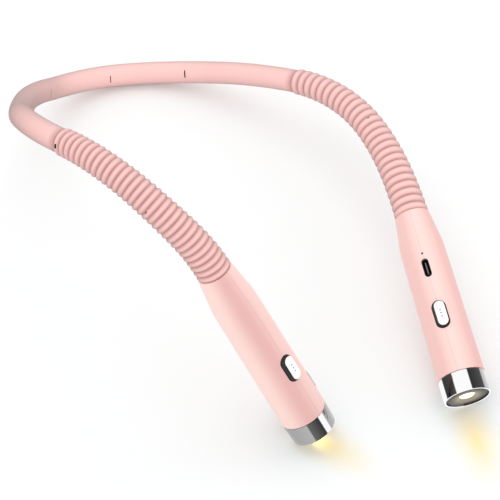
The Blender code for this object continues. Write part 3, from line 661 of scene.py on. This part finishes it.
def groove_shade():
    """Paints shade into the bottoms of grooves, from the mesh's own depth attribute.

    Edge is how far the surface turns from the viewer: there the painted shade in the grooves is
    darkest, and the smooth parts take some of the painted edge shade too.
    """

    def build(tree, given):
        depth = node(tree, "Attribute", attribute_name="groove").outputs["Fac"]
        share = calculate(tree, "MULTIPLY", depth, given["Amount"])
        grooved = mix(tree, share, given["Colour"], given["Groove Colour"])
        edge = calculate(tree, "MAXIMUM", depth, given["Edge Amount"])
        edge = calculate(tree, "MULTIPLY", edge, given["Edge"])
        return {"Colour": mix(tree, edge, grooved, given["Edge Colour"])}

    inputs = {
        "Colour": (0.8, 0.8, 0.8, 1), "Groove Colour": (0.5, 0.3, 0.3, 1), "Amount": 0.6,
        "Edge Colour": (0.2, 0.15, 0.14, 1), "Edge": 0.0, "Edge Amount": 0.8,
    }
    return shared_group("groove shade", inputs, {"Colour": COLOUR}, build)


def turning_marks():
    """Fine streaks across a metal surface, for its roughness and normal."""

    def build(tree, given):
        values = {
            "Vector": places(tree), "Scale": given["Scale"], "Detail": 4.0, "Roughness": 0.7,
        }
        marks = node(tree, "TexNoise", values).outputs["Fac"]
        values = {"Strength": 0.01, "Distance": 0.00002, "Height": marks}
        return {
            "Roughness": calculate(
                tree, "MULTIPLY_ADD", marks, given["Change"], given["Roughness"]
            ),
            "Normal": node(tree, "Bump", values).outputs["Normal"],
        }

    inputs = {"Roughness": 0.1, "Change": 0.05, "Scale": 900.0}
    outputs = {"Roughness": FLOAT, "Normal": VECTOR}
    return shared_group("turning marks", inputs, outputs, build)


def light_patch():
    """A soft oval patch: 1 in its middle, 0 at its edge."""

    def build(tree, given):
        values = {
            "Vector": given["Place"], "Location": given["Centre"], "Rotation": given["Turn"],
            "Scale": given["Reach"],
        }
        moved = node(tree, "Mapping", values, vector_type="TEXTURE").outputs[0]
        oval = node(tree, "TexGradient", {"Vector": moved}, gradient_type="SPHERICAL")
        return {"Amount": calculate(tree, "POWER", oval.outputs["Fac"], given["Softness"])}

    inputs = {
        "Place": (0, 0, 0), "Centre": (0, 0, 0), "Turn": (0, 0, 0), "Reach": (0.01, 0.01, 0.01),
        "Softness": 1.5,
    }
    return shared_group("light patch", inputs, {"Amount": FLOAT}, build)


def turn_about_axis():
    """How far round an axis a point lies: 0.5 straight ahead, more to the right, up to 1."""

    def build(tree, given):
        offset = combine(tree, "SUBTRACT", 0, {0: places(tree), 1: given["Centre"]})
        parts = [
            combine(tree, "DOT_PRODUCT", "Value", {0: offset, 1: given[way]})
            for way in ("Right", "Ahead")
        ]
        angle = calculate(tree, "ARCTAN2", *parts)
        return {"Turn": calculate(tree, "MULTIPLY_ADD", angle, 0.5 / math.pi, 0.5)}

    inputs = {"Centre": (0, 0, 0), "Ahead": (0, 0, 0), "Right": (0, 0, 0)}
    return shared_group("turn about axis", inputs, {"Turn": FLOAT}, build)


def moulded_material(
    name, colour, roughness, shade=0.05, size=0.0006, depth=0.02, grooves=None, gloss=0.3
):
    """A moulded plastic or silicone. Grooves, if given, are (colour of the painted shade in the
    grooves, amount).
    """
    found = bpy.data.materials.get(name)
    if found:
        return found
    made, tree, shader = new_material(name)
    values = {
        "Colour": (*colour, 1), "Roughness": roughness - 0.05, "Shade Change": shade,
        "Grain Size": size, "Grain Depth": depth,
    }
    surface = node(tree, "Group", values, node_tree=moulded_surface(), name="surface").outputs
    base = surface["Colour"]
    if grooves:
        facing = node(tree, "LayerWeight", {"Blend": 0.5}).outputs["Facing"]
        values = {
            "Colour": base, "Groove Colour": (*grooves[0], 1), "Amount": grooves[1],
            "Edge": calculate(tree, "POWER", facing, 2.0),
        }
        base = node(tree, "Group", values, node_tree=groove_shade()).outputs["Colour"]
    values = {"Base Color": base, "Specular IOR Level": gloss}
    values.update({socket: surface[socket] for socket in ("Roughness", "Normal")})
    feed(tree, shader, values)
    return made


def metal_material(name, colour, roughness, change=0.05, scale=900.0):
    found = bpy.data.materials.get(name)
    if found:
        return found
    made, tree, shader = new_material(name)
    values = {"Roughness": roughness, "Change": change, "Scale": scale}
    marks = node(tree, "Group", values, node_tree=turning_marks()).outputs
    values = {"Base Color": (*colour, 1), "Metallic": 1.0}
    values.update({socket: marks[socket] for socket in ("Roughness", "Normal")})
    feed(tree, shader, values)
    return made


def silicone():
    colour = finish_colours().silicone
    # The darker colour is painted shade in the grooves
    dark = [channel * share for channel, share in zip(colour, GROOVE_PAINTED_SHADE_SHARES)]
    return moulded_material("pink silicone", colour, 0.52, 0.03, 0.0007, 0.02, (dark, 0.95), 0.1)


# Dark rubber for the cable, plunger and dots, and painted shade on the dark skirts under the
# buttons
def dark_rubber_and_shade():
    return moulded_material("dark rubber", (0.018, 0.017, 0.017), 0.45)


def painted_bands(tree, side, bands):
    """Bands of painted light, shade and reflection along a head. Bands are (place in turns, colour)
    stops round its axis.
    """
    matrix = LINES[side].head_matrix()
    centre, along = matrix @ Vector((0, 0, BEZEL_START)), matrix.col[2].xyz
    ahead = Vector(CAMERA_PLACE) - centre
    ahead = (ahead - along * ahead.dot(along)).normalized()
    values = {"Centre": centre, "Ahead": ahead, "Right": ahead.cross(along)}
    turn = node(tree, "Group", values, node_tree=turn_about_axis()).outputs["Turn"]
    ramp = node(tree, "ValToRGB", {"Fac": turn})
    stops = ramp.color_ramp.elements
    stops.remove(stops[-1])
    for index, (spot, colour) in enumerate(bands):
        stop = stops[0] if index == 0 else stops.new(spot)
        stop.position = spot
        stop.color = (*colour, 1)
    return ramp.outputs["Color"]


def casing_plastic(side):
    """Satin plastic, with painted light and shade: soft lighter and darker bands along the head."""
    name = f"{side} pink satin plastic"
    found = bpy.data.materials.get(name)
    if found:
        return found
    colours = finish_colours()
    made = moulded_material(name, colours.casing, 0.40, 0.02, 0.0005, 0.015)
    tree = made.node_tree
    bands = painted_bands(tree, side, [(spot, (share,) * 3) for spot, share in CASING_PAINTED_LIGHT[side]])
    shade = mix(tree, bands, (*colours.casing, 1), (*colours.casing_painted_light, 1))
    feed(tree, tree.nodes["surface"].inputs, {"Colour": shade})
    return made


def chrome(side):
    """Chrome with painted reflections: lighter and darker bands along the head, painted where it
    would mirror a studio's panels.
    """
    colour = finish_colours().chrome
    made = metal_material(f"{side} chrome plating", colour, 0.03, 0.03)
    tree = made.node_tree
    bands = [(spot, [part * level for part in colour]) for spot, level in BEZEL_PAINTED_REFLECTIONS[side]]
    shader = tree.nodes["Principled BSDF"].inputs
    feed(tree, shader, {"Base Color": painted_bands(tree, side, bands)})
    return made


def paint(obj, material, body):
    obj.data.materials.clear()
    obj.data.materials.append(material)
    if body:
        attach(obj, body)


# Operators, one for each group of pieces

class READINGLIGHT_OT_sleeves(Operator):
    """Make the smooth band, the ribbed arms and the cable inside them"""

    bl_idname = "reading_light.sleeves"
    bl_label = "Band and Arms"

    def crest(self, line, distance):
        sizes = piece_sizes()
        share = (distance - line.band_end) / (line.neck - line.band_end)
        return sizes.rib_radius_band + (sizes.rib_radius_head - sizes.rib_radius_band) * share

    def bore(self, line, distance):
        share = min(1, max(0, (distance - line.band_end) / (line.neck - line.band_end)))
        return BORE_RADII[0] + (BORE_RADII[1] - BORE_RADII[0]) * share

    def outside(self, line, start, end):
        """(radius, distance) steps of the outer surface between two distances."""
        sizes = piece_sizes()
        steps = []
        if start < line.band_end:
            last = min(end, line.band_end)
            count = max(2, round((last - start) / BAND_STEP))
            steps += [(sizes.band_radius, d) for d in np.linspace(start, last, count + 1)]
        if end > line.band_end:
            first = max(0, round((start - line.band_end) / line.pitch))
            last = round((end - line.band_end) / line.pitch)
            for rib in range(first, last):
                for share in RIB_STEPS:
                    distance = line.band_end + (rib + share) * line.pitch
                    steps.append((self.rib_radius(line, distance, share), distance))
            steps.append((self.rib_radius(line, end, 0.0), end))
        return steps

    def rib_radius(self, line, distance, share):
        depth = piece_sizes().rib_depth
        return self.crest(line, distance) - depth * abs(2 * share - 1) ** RIB_SHAPES[line.side]

    def mark_grooves(self, obj, line, distances):
        """Store how deep each point lies between its ribs, for the grooves' painted shade.

        The painted shade in the grooves is darkest along the top of the arms.
        """
        attribute = obj.data.attributes.new("groove", "FLOAT", "POINT")
        values = np.zeros(len(obj.data.vertices), np.float32)
        depth = piece_sizes().rib_depth
        for index, (vertex, distance) in enumerate(zip(obj.data.vertices, distances)):
            if distance > line.band_end - 0.0005:
                out = vertex.co - line.point(distance)
                below = (self.crest(line, distance) - out.length) / depth
                top = max(0.0, out.normalized().dot(Vector(CAMERA_PLACE).normalized()))
                values[index] = min(1.0, max(0.0, below)) * (0.5 + 0.5 * top * top)
        attribute.data.foreach_set("value", values)

    def cut_slits(self, sleeve, line, start, end):
        radius = piece_sizes().band_radius
        for distance, angle, length, width in SLITS[line.side]:
            if not start < distance < end:
                continue
            if distance > line.band_end:
                radius = self.crest(line, distance)
            along = line.tangent(distance)
            up = (Vector((0, 0, 1)) - along * along.z).normalized()
            out = Matrix.Rotation(math.radians(angle), 3, along) @ up
            turn = Matrix((along, out.cross(along), out)).transposed().to_4x4()
            tool = capsule("slit", length, width, radius - SLIT_DEPTH, radius + SLIT_RISE, 16)
            # The insides of the slits are painted dark: painted shade in the cuts
            tool.data.materials.append(moulded_material("slit inside", (0.09, 0.03, 0.03), 0.6))
            place(tool, Matrix.Translation(line.point(distance)) @ turn)
            cut(sleeve, tool)

    def make_piece(self, line, curve, number):
        side = line.side
        seams, joints = line.seams(), line.joints()
        start, end = seams[number], seams[number + 1]
        sizes = piece_sizes()
        outer = self.outside(line, start, end)
        inner = [(self.bore(line, d), d) for d in np.linspace(end, start, max(3, len(outer) // 4))]
        name = f"{side}_sleeve_{'band' if number == 0 else 'arm'}_{number + 1}"
        sleeve = turned(name, outer + inner, sizes.sleeve_sides)
        distances = [vertex.co.z for vertex in sleeve.data.vertices]
        bend_onto(sleeve, curve)
        self.mark_grooves(sleeve, line, distances)
        steps = np.linspace(start, end, max(3, round((end - start) / CABLE_STEP)))
        profile = [(CABLE_RADIUS, distance) for distance in steps]
        cable = turned(f"{side}_cable_{number + 1}", profile, CABLE_SIDES, hollow=False)
        bend_onto(cable, curve)
        smooth(cable)
        reach = BEND_REACHES[number]
        ends = line.point(joints[number] - reach), line.point(joints[number] + reach)
        for obj, material, slot in (
            (sleeve, silicone(), "pink_silicone"),
            (cable, dark_rubber_and_shade(), "cable_jacket"),
        ):
            paint(obj, material, None)
            if obj is sleeve:
                self.cut_slits(sleeve, line, start, end)
                smooth(sleeve, 50)
            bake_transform(obj)
        stands_for = [f"{side}_sleeve_{number}"] if number else ["band_sleeve"]
        if number == len(BODIES) - 1:
            stands_for.append(f"{side}_sleeve_{number + 1}")
        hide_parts(*stands_for)
        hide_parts("cable")

    def execute(self, context):
        for line in LINES.values():
            curve = line_curve(line)
            for number in range(len(BODIES)):
                self.make_piece(line, curve, number)
            bpy.data.objects.remove(curve, do_unlink=True)
        return {"FINISHED"}


class READINGLIGHT_OT_casings(Operator):
    """Make the two half shells of each head, with the openings for its controls"""

    bl_idname = "reading_light.casings"
    bl_label = "Casings"

    def profile(self):
        sizes = piece_sizes()
        neck, shoulder, case = sizes.neck_radius, sizes.shoulder_radius, sizes.case_radius
        outer = [
            (LIP_OUTER, LIP_END), (LIP_OUTER, BEZEL_START), (case, BEZEL_START),
            (case - 0.00025, 0.065), (shoulder + 0.00015, 0.028), (shoulder, 0.0205),
            (shoulder - 0.00012, 0.0180), (shoulder - 0.00042, 0.0155),
            (shoulder - 0.00090, 0.0125), (neck + 0.00075, 0.0060), (neck + 0.00018, 0.0016),
            (neck, 0.0006), (neck - 0.0003, 0.0001),
        ]
        inner = [
            (0.0060, 0.0001), (0.0060, 0.0025), (0.0079, 0.0025), (shoulder - CASE_WALL, 0.0195),
            (case - CASE_WALL, 0.0900), (LIP_INNER, BEZEL_START), (LIP_INNER, LIP_END),
        ]
        return outer + inner

    def control_cutter(self, name, matrix, length, width, position):
        sizes = piece_sizes()
        tool = capsule(name, length, width, CUT_START, sizes.case_radius + CUT_PAST)
        place(tool, control_place(matrix, position))
        return tool

    def execute(self, context):
        sizes = piece_sizes()
        for side, line in LINES.items():
            matrix = line.head_matrix()
            turn = Matrix.Rotation(math.radians(SIDE_BUTTON_TURN), 4, "Z")
            hole = sizes.button_length + BUTTON_GAP, sizes.button_width + BUTTON_GAP
            tools = [self.control_cutter("button_hole", matrix, *hole, BUTTON_PLACE)]
            if side == "left":
                tools.append(self.control_cutter("hole", matrix @ turn, *hole, SIDE_BUTTON_PLACE))
            else:
                tools.append(self.control_cutter("port", matrix, *PORT_HOLE, PORT_PLACE))
                tools.append(self.control_cutter("pin", matrix, *PIN_HOLE, INDICATOR_PLACE))
            inner_sign = 1 if side == "right" else -1
            for half, sign in (("inner", inner_sign), ("outer", -inner_sign)):
                shell = turned(f"{side}_casing_{half}", self.profile(), CASING_SIDES)
                with editing(shell):
                    bpy.ops.mesh.bisect(
                        plane_co=(0, sign * sizes.seam / 2, 0),
                        plane_no=(0, sign, 0),
                        use_fill=True,
                        clear_inner=True,
                    )
                    bpy.ops.mesh.select_all(action="SELECT")
                    bpy.ops.mesh.normals_make_consistent(inside=False)
                soften_edges(shell, *SOFT_EDGES["casing"])
                place(shell, matrix)
                for tool in tools:
                    cut(shell, tool, keep_tool=True)
                smooth(shell, 30)
                paint(shell, casing_plastic(side), f"{side}_head")
                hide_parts(f"{side}_shell_{half}")
            for tool in tools:
                bpy.data.objects.remove(tool, do_unlink=True)
        return {"FINISHED"}


class READINGLIGHT_OT_fronts(Operator):
    """Make the bezel, the face disc and the lens of each head"""

    bl_idname = "reading_light.fronts"
    bl_label = "Bezels and Lenses"

    def lens_material(self):
        made, tree, shader = new_material("lit lens")
        values = {"Vector": places(tree), "Scale": 420.0, "Detail": 2.0}
        rings = node(tree, "TexNoise", values).outputs["Fac"]
        lamp = finish_colours().lamp
        feed(tree, shader, {
            "Base Color": (0.95, 0.93, 0.85, 1),
            "Roughness": 0.12,
            "Emission Color": mix(tree, rings, (1.0, 0.97, 0.86, 1), (*lamp, 1)),
            "Emission Strength": 1.15,
        })
        return made

    def face_material(self, side):
        """Dark plastic with a painted glow next to the lens."""
        colours = finish_colours()
        made = moulded_material(f"{side} face disc", colours.face, 0.35)
        tree = made.node_tree
        front = LINES[side].head_matrix() @ Vector((0, 0, HEAD_LENGTH))
        values = {
            "Place": places(tree), "Centre": front, "Reach": (GLOW_REACH,) * 3, "Softness": 2.0,
        }
        glow = node(tree, "Group", values, node_tree=light_patch()).outputs["Amount"]
        lit = mix(tree, glow, (0, 0, 0, 1), (*colours.lamp, 1))
        shader = tree.nodes["Principled BSDF"].inputs
        feed(tree, shader, {"Emission Color": lit, "Emission Strength": 1.1})
        return made

    def execute(self, context):
        sizes = piece_sizes()
        outer, lens = sizes.bezel_radius, sizes.lens_radius
        lit = self.lens_material()
        for side, line in LINES.items():
            matrix, body = line.head_matrix(), f"{side}_head"
            inside, back = outer - BEZEL_WALL, BEZEL_START + BEZEL_GAP
            bezel = turned(
                f"{side}_chrome_bezel",
                [(outer, back), (outer, HEAD_LENGTH), (inside, HEAD_LENGTH), (inside, back)],
                BEZEL_SIDES,
            )
            soften_edges(bezel, *SOFT_EDGES["bezel"])
            disc = turned(
                f"{side}_face_disc",
                [
                    (outer - 0.0013, FACE_BACK), (outer - 0.0013, FACE_FRONT),
                    (lens + 0.0012, FACE_FRONT), (lens + 0.0003, 0.1038),
                    (lens + 0.0003, FACE_BACK),
                ],
                FACE_SIDES,
            )
            soften_edges(disc, *SOFT_EDGES["face"])
            glass = turned(
                f"{side}_round_lens",
                [
                    (lens, 0.1022), (lens, 0.1034), (lens * 0.86, 0.1038), (lens * 0.6, 0.1042),
                    (lens * 0.3, FACE_FRONT), (lens * 0.05, 0.10445),
                ],
                LENS_SIDES,
                hollow=False,
            )
            for obj, material, slot, stands_for in (
                (bezel, chrome(side), "chrome", "bezel"),
                (disc, self.face_material(side), "dark_plastic", "face_plate"),
                (glass, lit, "clear_plastic", "lens"),
            ):
                place(obj, matrix)
                smooth(obj)
                paint(obj, material, body)
                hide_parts(f"{side}_{stands_for}")
            colour = finish_colours().chrome
            bezel.data.materials.append(metal_material("chrome rim", colour, 0.03, 0.03))
            along = matrix.col[2].xyz
            for face in bezel.data.polygons:
                if face.normal.dot(along) > 0.5:
                    face.material_index = 1
        return {"FINISHED"}


class READINGLIGHT_OT_buttons(Operator):
    """Make the push buttons with their dots"""

    bl_idname = "reading_light.buttons"
    bl_label = "Buttons"

    def make_button(self, prefix, matrix, position, body, rubber=None):
        sizes = piece_sizes()
        share = (position - SLOPE_START) / (BEZEL_START - SLOPE_START)
        surface = sizes.shoulder_radius + (sizes.case_radius - sizes.shoulder_radius) * share
        top = surface + sizes.button_proud
        wall_top = surface + (rubber or sizes.button_proud - WALL_DROP)
        to_head = control_place(matrix, position)
        length, width = sizes.button_length, sizes.button_width

        taper = 2 * sizes.button_taper
        lean = Matrix.Translation((-sizes.button_lean, 0, 0))
        # The skirt, its rim and its wall are dark: painted shade in the gap round the cap and on
        # its side
        wall_low = surface - SKIRT_DROP
        skirt = capsule(f"{prefix}button_skirt", length, width, SKIRT_FOOT, wall_low)
        for part, size, low, high, draw in (
            ("rim", *SKIRT_RIM, 0),
            ("wall", 0, wall_low - SKIRT_LAP, wall_top, taper / 2),
        ):
            name = f"{prefix}button_{part}"
            tool = capsule(name, length + size, width + size, low, high, taper=draw)
            if part == "wall":
                with editing(tool):
                    select_points(tool, lambda co: co.z > wall_top - TOLERANCE)
                    bpy.ops.transform.translate(value=lean.translation)
            cut(skirt, tool, operation="UNION")
        name = f"{prefix}button_cap"
        cap = capsule(name, length - taper, width - taper, wall_top + CAP_GAP, top)
        soften_edges(cap, *SOFT_EDGES["cap"])
        place(cap, lean)
        dots = None
        for step in (-1, 0, 1):
            start_fresh()
            bpy.ops.mesh.primitive_cylinder_add(
                vertices=20, radius=DOT_RADIUS, depth=DOT_HEIGHT,
                location=(-sizes.button_lean, step * DOT_SPACING, top - DOT_DEPTH),
            )
            dot = name_piece(f"{prefix}button_dots")
            if dots:
                dots.select_set(True)
                bpy.context.view_layer.objects.active = dots
                bpy.ops.object.join()
            else:
                dots = dot
        soften_edges(dots, *SOFT_EDGES["dots"])
        place(dots, dots.matrix_world.copy())
        colour = finish_colours().button
        for obj, material, slot in (
            (skirt, dark_rubber_and_shade(), "dark_plastic"),
            (cap, moulded_material("white button", colour, 0.3), "white_plastic"),
            (dots, dark_rubber_and_shade(), "dark_plastic"),
        ):
            place(obj, to_head)
            smooth(obj, 40)
            paint(obj, material, body)
        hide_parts(body)

    def execute(self, context):
        for side, line in LINES.items():
            matrix = line.head_matrix()
            self.make_button(f"{side}_", matrix, BUTTON_PLACE, f"{side}_button")
        turn = Matrix.Rotation(math.radians(SIDE_BUTTON_TURN), 4, "Z")
        self.make_button(
            "left_side_",
            LINES["left"].head_matrix() @ turn,
            SIDE_BUTTON_PLACE,
            "left_side_button",
            rubber=SIDE_WALL,
        )
        return {"FINISHED"}


class READINGLIGHT_OT_port(Operator):
    """Make the charging socket of the right head"""

    bl_idname = "reading_light.port"
    bl_label = "Charging Port"

    def execute(self, context):
        to_head = control_place(LINES["right"].head_matrix(), PORT_PLACE)
        socket = capsule("right_port_shell", *PORT_SHELL)
        cut(socket, capsule("right_port_hollow", *PORT_HOLLOW))
        soften_edges(socket, *SOFT_EDGES["port"])
        tongue = capsule("right_port_tongue", *PORT_TONGUE, 10)
        steel = metal_material("dark steel", (0.03, 0.03, 0.032), 0.4)
        plastic = moulded_material("port tongue", (0.16, 0.16, 0.16), 0.4)
        for obj, material, slot, stands_for in (
            (socket, steel, "nickel", "usb_socket"),
            (tongue, plastic, "dark_plastic", "usb_tongue"),
        ):
            place(obj, to_head)
            smooth(obj)
            paint(obj, material, "right_head")
            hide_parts(f"right_{stands_for}")
        return {"FINISHED"}


class READINGLIGHT_OT_insides(Operator):
    """Give each carried-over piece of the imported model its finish"""

    bl_idname = "reading_light.insides"
    bl_label = "Inner Pieces"

    def execute(self, context):
        steel = metal_material("wound steel", (0.42, 0.43, 0.45), 0.30, 0.2, 1500.0)
        nickel = metal_material("nickel plating", (0.62, 0.62, 0.60), 0.22, 0.1)
        aluminium = metal_material("turned aluminium", (0.72, 0.73, 0.75), 0.30, 0.1)
        board = moulded_material("green solder mask", (0.03, 0.20, 0.09), 0.35, 0.25, 0.0004, 0.05)
        wrap = moulded_material("battery wrap", (0.05, 0.15, 0.45), 0.35, 0.05)
        phosphor = moulded_material("yellow phosphor", (0.90, 0.72, 0.20), 0.5)
        clear = moulded_material("smoky light pipe", (0.05, 0.04, 0.04), 0.3)
        finishes = {
            "core": steel, "collar": nickel, "switch": nickel, "reflector": aluminium,
            "led_board": aluminium, "circuit_board": board, "battery": wrap, "led": phosphor,
            "switch_plunger": dark_rubber_and_shade(), "indicator": clear,
        }
        for name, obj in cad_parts.items():
            if obj.hide_render:
                continue
            kind = name.removeprefix("left_").removeprefix("right_").removeprefix("side_")
            if kind.startswith("core") or name == "band_core":
                kind = "core"
            obj.data.materials.clear()
            obj.data.materials.append(finishes[kind])
        return {"FINISHED"}


class READINGLIGHT_OT_stage(Operator):
    """Set up the camera, the floor, the lights and the beams of the lamps"""

    bl_idname = "reading_light.stage"
    bl_label = "Studio"

    def make_camera(self, scene):
        camera = bpy.data.cameras.new("camera")
        camera.lens = CAMERA_LENS
        camera.sensor_width = CAMERA_SENSOR
        camera.clip_end = CAMERA_FAR
        obj = bpy.data.objects.new("camera", camera)
        obj.location = CAMERA_PLACE
        obj.rotation_euler = (math.radians(90 - CAMERA_ELEVATION), 0, math.radians(CAMERA_AZIMUTH))
        scene.collection.objects.link(obj)
        scene.camera = obj

    def beam_matrix(self, side):
        matrix = LINES[side].head_matrix() @ Matrix.Translation((0, 0, HEAD_LENGTH + BEAM_GAP))
        return matrix @ Matrix.Rotation(math.pi, 4, "X")

    def paint_light_on_floor(self, tree, side):
        """A painted patch of light ahead of one lamp, placed from its beam so that it moves with
        it.
        """
        matrix = LINES[side].head_matrix()
        ahead = matrix.col[2].xyz
        spot = matrix @ Vector((0, 0, HEAD_LENGTH + BEAM_AHEAD[side]))
        on_floor = Matrix.Translation((spot.x, spot.y, 0))
        on_floor @= Matrix.Rotation(math.atan2(ahead.y, ahead.x), 4, "Z")
        from_beam = self.beam_matrix(side).inverted() @ on_floor
        values = {
            "Place": places(tree, bpy.data.objects[f"{side}_beam"]),
            "Centre": from_beam.translation,
            "Turn": from_beam.to_euler(),
            "Reach": PAINTED_PATCH_REACH,
        }
        return node(tree, "Group", values, node_tree=light_patch()).outputs["Amount"]

    def make_floor(self):
        start_fresh()
        bpy.ops.mesh.primitive_plane_add(size=FLOOR_SIZE, location=(0, 0, -FLOOR_GAP))
        floor = name_piece("floor")
        made, tree, shader = new_material("pale floor")
        path = node(tree, "LightPath").outputs
        seen = calculate(tree, "MAXIMUM", path["Is Camera Ray"], path["Is Glossy Ray"])
        lit = FLOOR_COLOUR
        for side in LINES:
            lit = mix(tree, self.paint_light_on_floor(tree, side), lit, PAINTED_PATCH_COLOUR)
        shown = combine(tree, "SCALE", 0, {0: lit, "Scale": FLOOR_LEVEL})
        values = {"Place": places(tree), "Reach": (NEAR_REACH,) * 3, "Softness": 0.5}
        near = node(tree, "Group", values, node_tree=light_patch()).outputs["Amount"]
        level = calculate(tree, "MULTIPLY_ADD", near, *FLOOR_LIFT)
        feed(tree, shader, {
            "Roughness": 1.0,
            "Specular IOR Level": 0.0,
            "Base Color": mix(tree, seen, (FLOOR_LEVEL, FLOOR_LEVEL, FLOOR_LEVEL, 1), shown),
            "Emission Color": lit,
            "Emission Strength": calculate(tree, "MULTIPLY", seen, level),
        })
        floor.data.materials.append(made)
        floor.visible_glossy = False

    def make_world(self, scene):
        studio = scene.reading_light_studio
        world = bpy.data.worlds.new("studio")
        world.use_nodes = True
        scene.world = world
        tree = world.node_tree
        path = node(tree, "LightPath").outputs
        seen = calculate(tree, "MAXIMUM", path["Is Glossy Ray"], path["Is Transmission Ray"])
        seen = calculate(tree, "MAXIMUM", path["Is Camera Ray"], seen)
        level = calculate(tree, "MULTIPLY_ADD", seen, 1.0 - studio.surround, studio.surround)
        back = tree.nodes["Background"].inputs
        feed(tree, back, {"Color": (1, 1, 1, 1), "Strength": level})

    def make_lamp(self, name, location, size, power):
        data = bpy.data.lights.new(name, "AREA")
        data.shape = "RECTANGLE"
        data.size, data.size_y = size
        data.energy = power
        lamp = bpy.data.objects.new(name, data)
        lamp.location = location
        away = Vector(location) - Vector(LIGHT_MIDDLE)
        lamp.rotation_euler = away.to_track_quat("Z", "Y").to_euler()
        lamp.visible_glossy = False
        bpy.context.scene.collection.objects.link(lamp)

    def make_beam(self, side):
        data = bpy.data.lights.new(f"{side}_beam", "SPOT")
        data.energy = bpy.context.scene.reading_light_studio.beam
        data.color = finish_colours().lamp
        data.spot_size = math.radians(BEAM_ANGLE)
        data.spot_blend = BEAM_SOFTNESS
        data.shadow_soft_size = BEAM_RADIUS
        lamp = bpy.data.objects.new(f"{side}_beam", data)
        bpy.context.scene.collection.objects.link(lamp)
        lamp.matrix_world = self.beam_matrix(side)
        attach(lamp, f"{side}_head")

    def execute(self, context):
        scene = context.scene
        scene.view_settings.view_transform = "Standard"
        studio = scene.reading_light_studio
        self.make_camera(scene)
        for side in LINES:
            self.make_beam(side)
        self.make_floor()
        self.make_world(scene)
        for name, (location, size, level) in LAMPS.items():
            self.make_lamp(name, location, size, getattr(studio, level))
        return {"FINISHED"}


class READINGLIGHT_PT_sidebar(Panel):
    """Lists the steps and their properties."""

    bl_label = "Reading Light"
    bl_space_type = "VIEW_3D"
    bl_region_type = "UI"
    bl_category = "Reading Light"

    def draw(self, context):
        for step in STEPS:
            self.layout.operator(step.bl_idname)
        for group in GROUPS:
            box = self.layout.box()
            settings = getattr(context.scene, group)
            for name in settings.__annotations__:
                box.prop(settings, name)


STEPS = (
    READINGLIGHT_OT_sleeves,
    READINGLIGHT_OT_casings,
    READINGLIGHT_OT_fronts,
    READINGLIGHT_OT_buttons,
    READINGLIGHT_OT_port,
    READINGLIGHT_OT_insides,
    READINGLIGHT_OT_stage,
)
GROUPS = {
    "reading_light_sizes": ReadingLightSizes,
    "reading_light_colours": ReadingLightColours,
    "reading_light_studio": ReadingLightStudio,
}


def register():
    for group in GROUPS.values():
        bpy.utils.register_class(group)
    for name, group in GROUPS.items():
        setattr(bpy.types.Scene, name, PointerProperty(type=group))
    for step in (*STEPS, READINGLIGHT_PT_sidebar):
        bpy.utils.register_class(step)


def unregister():
    for step in reversed((*STEPS, READINGLIGHT_PT_sidebar)):
        bpy.utils.unregister_class(step)
    for name in reversed(GROUPS):
        delattr(bpy.types.Scene, name)
    for group in reversed(GROUPS.values()):
        bpy.utils.unregister_class(group)


def main():
    register()
    bpy.ops.reading_light.sleeves()
    bpy.ops.reading_light.casings()
    bpy.ops.reading_light.fronts()
    bpy.ops.reading_light.buttons()
    bpy.ops.reading_light.port()
    bpy.ops.reading_light.insides()
    bpy.ops.reading_light.stage()


if __name__ == "__main__":
    main()
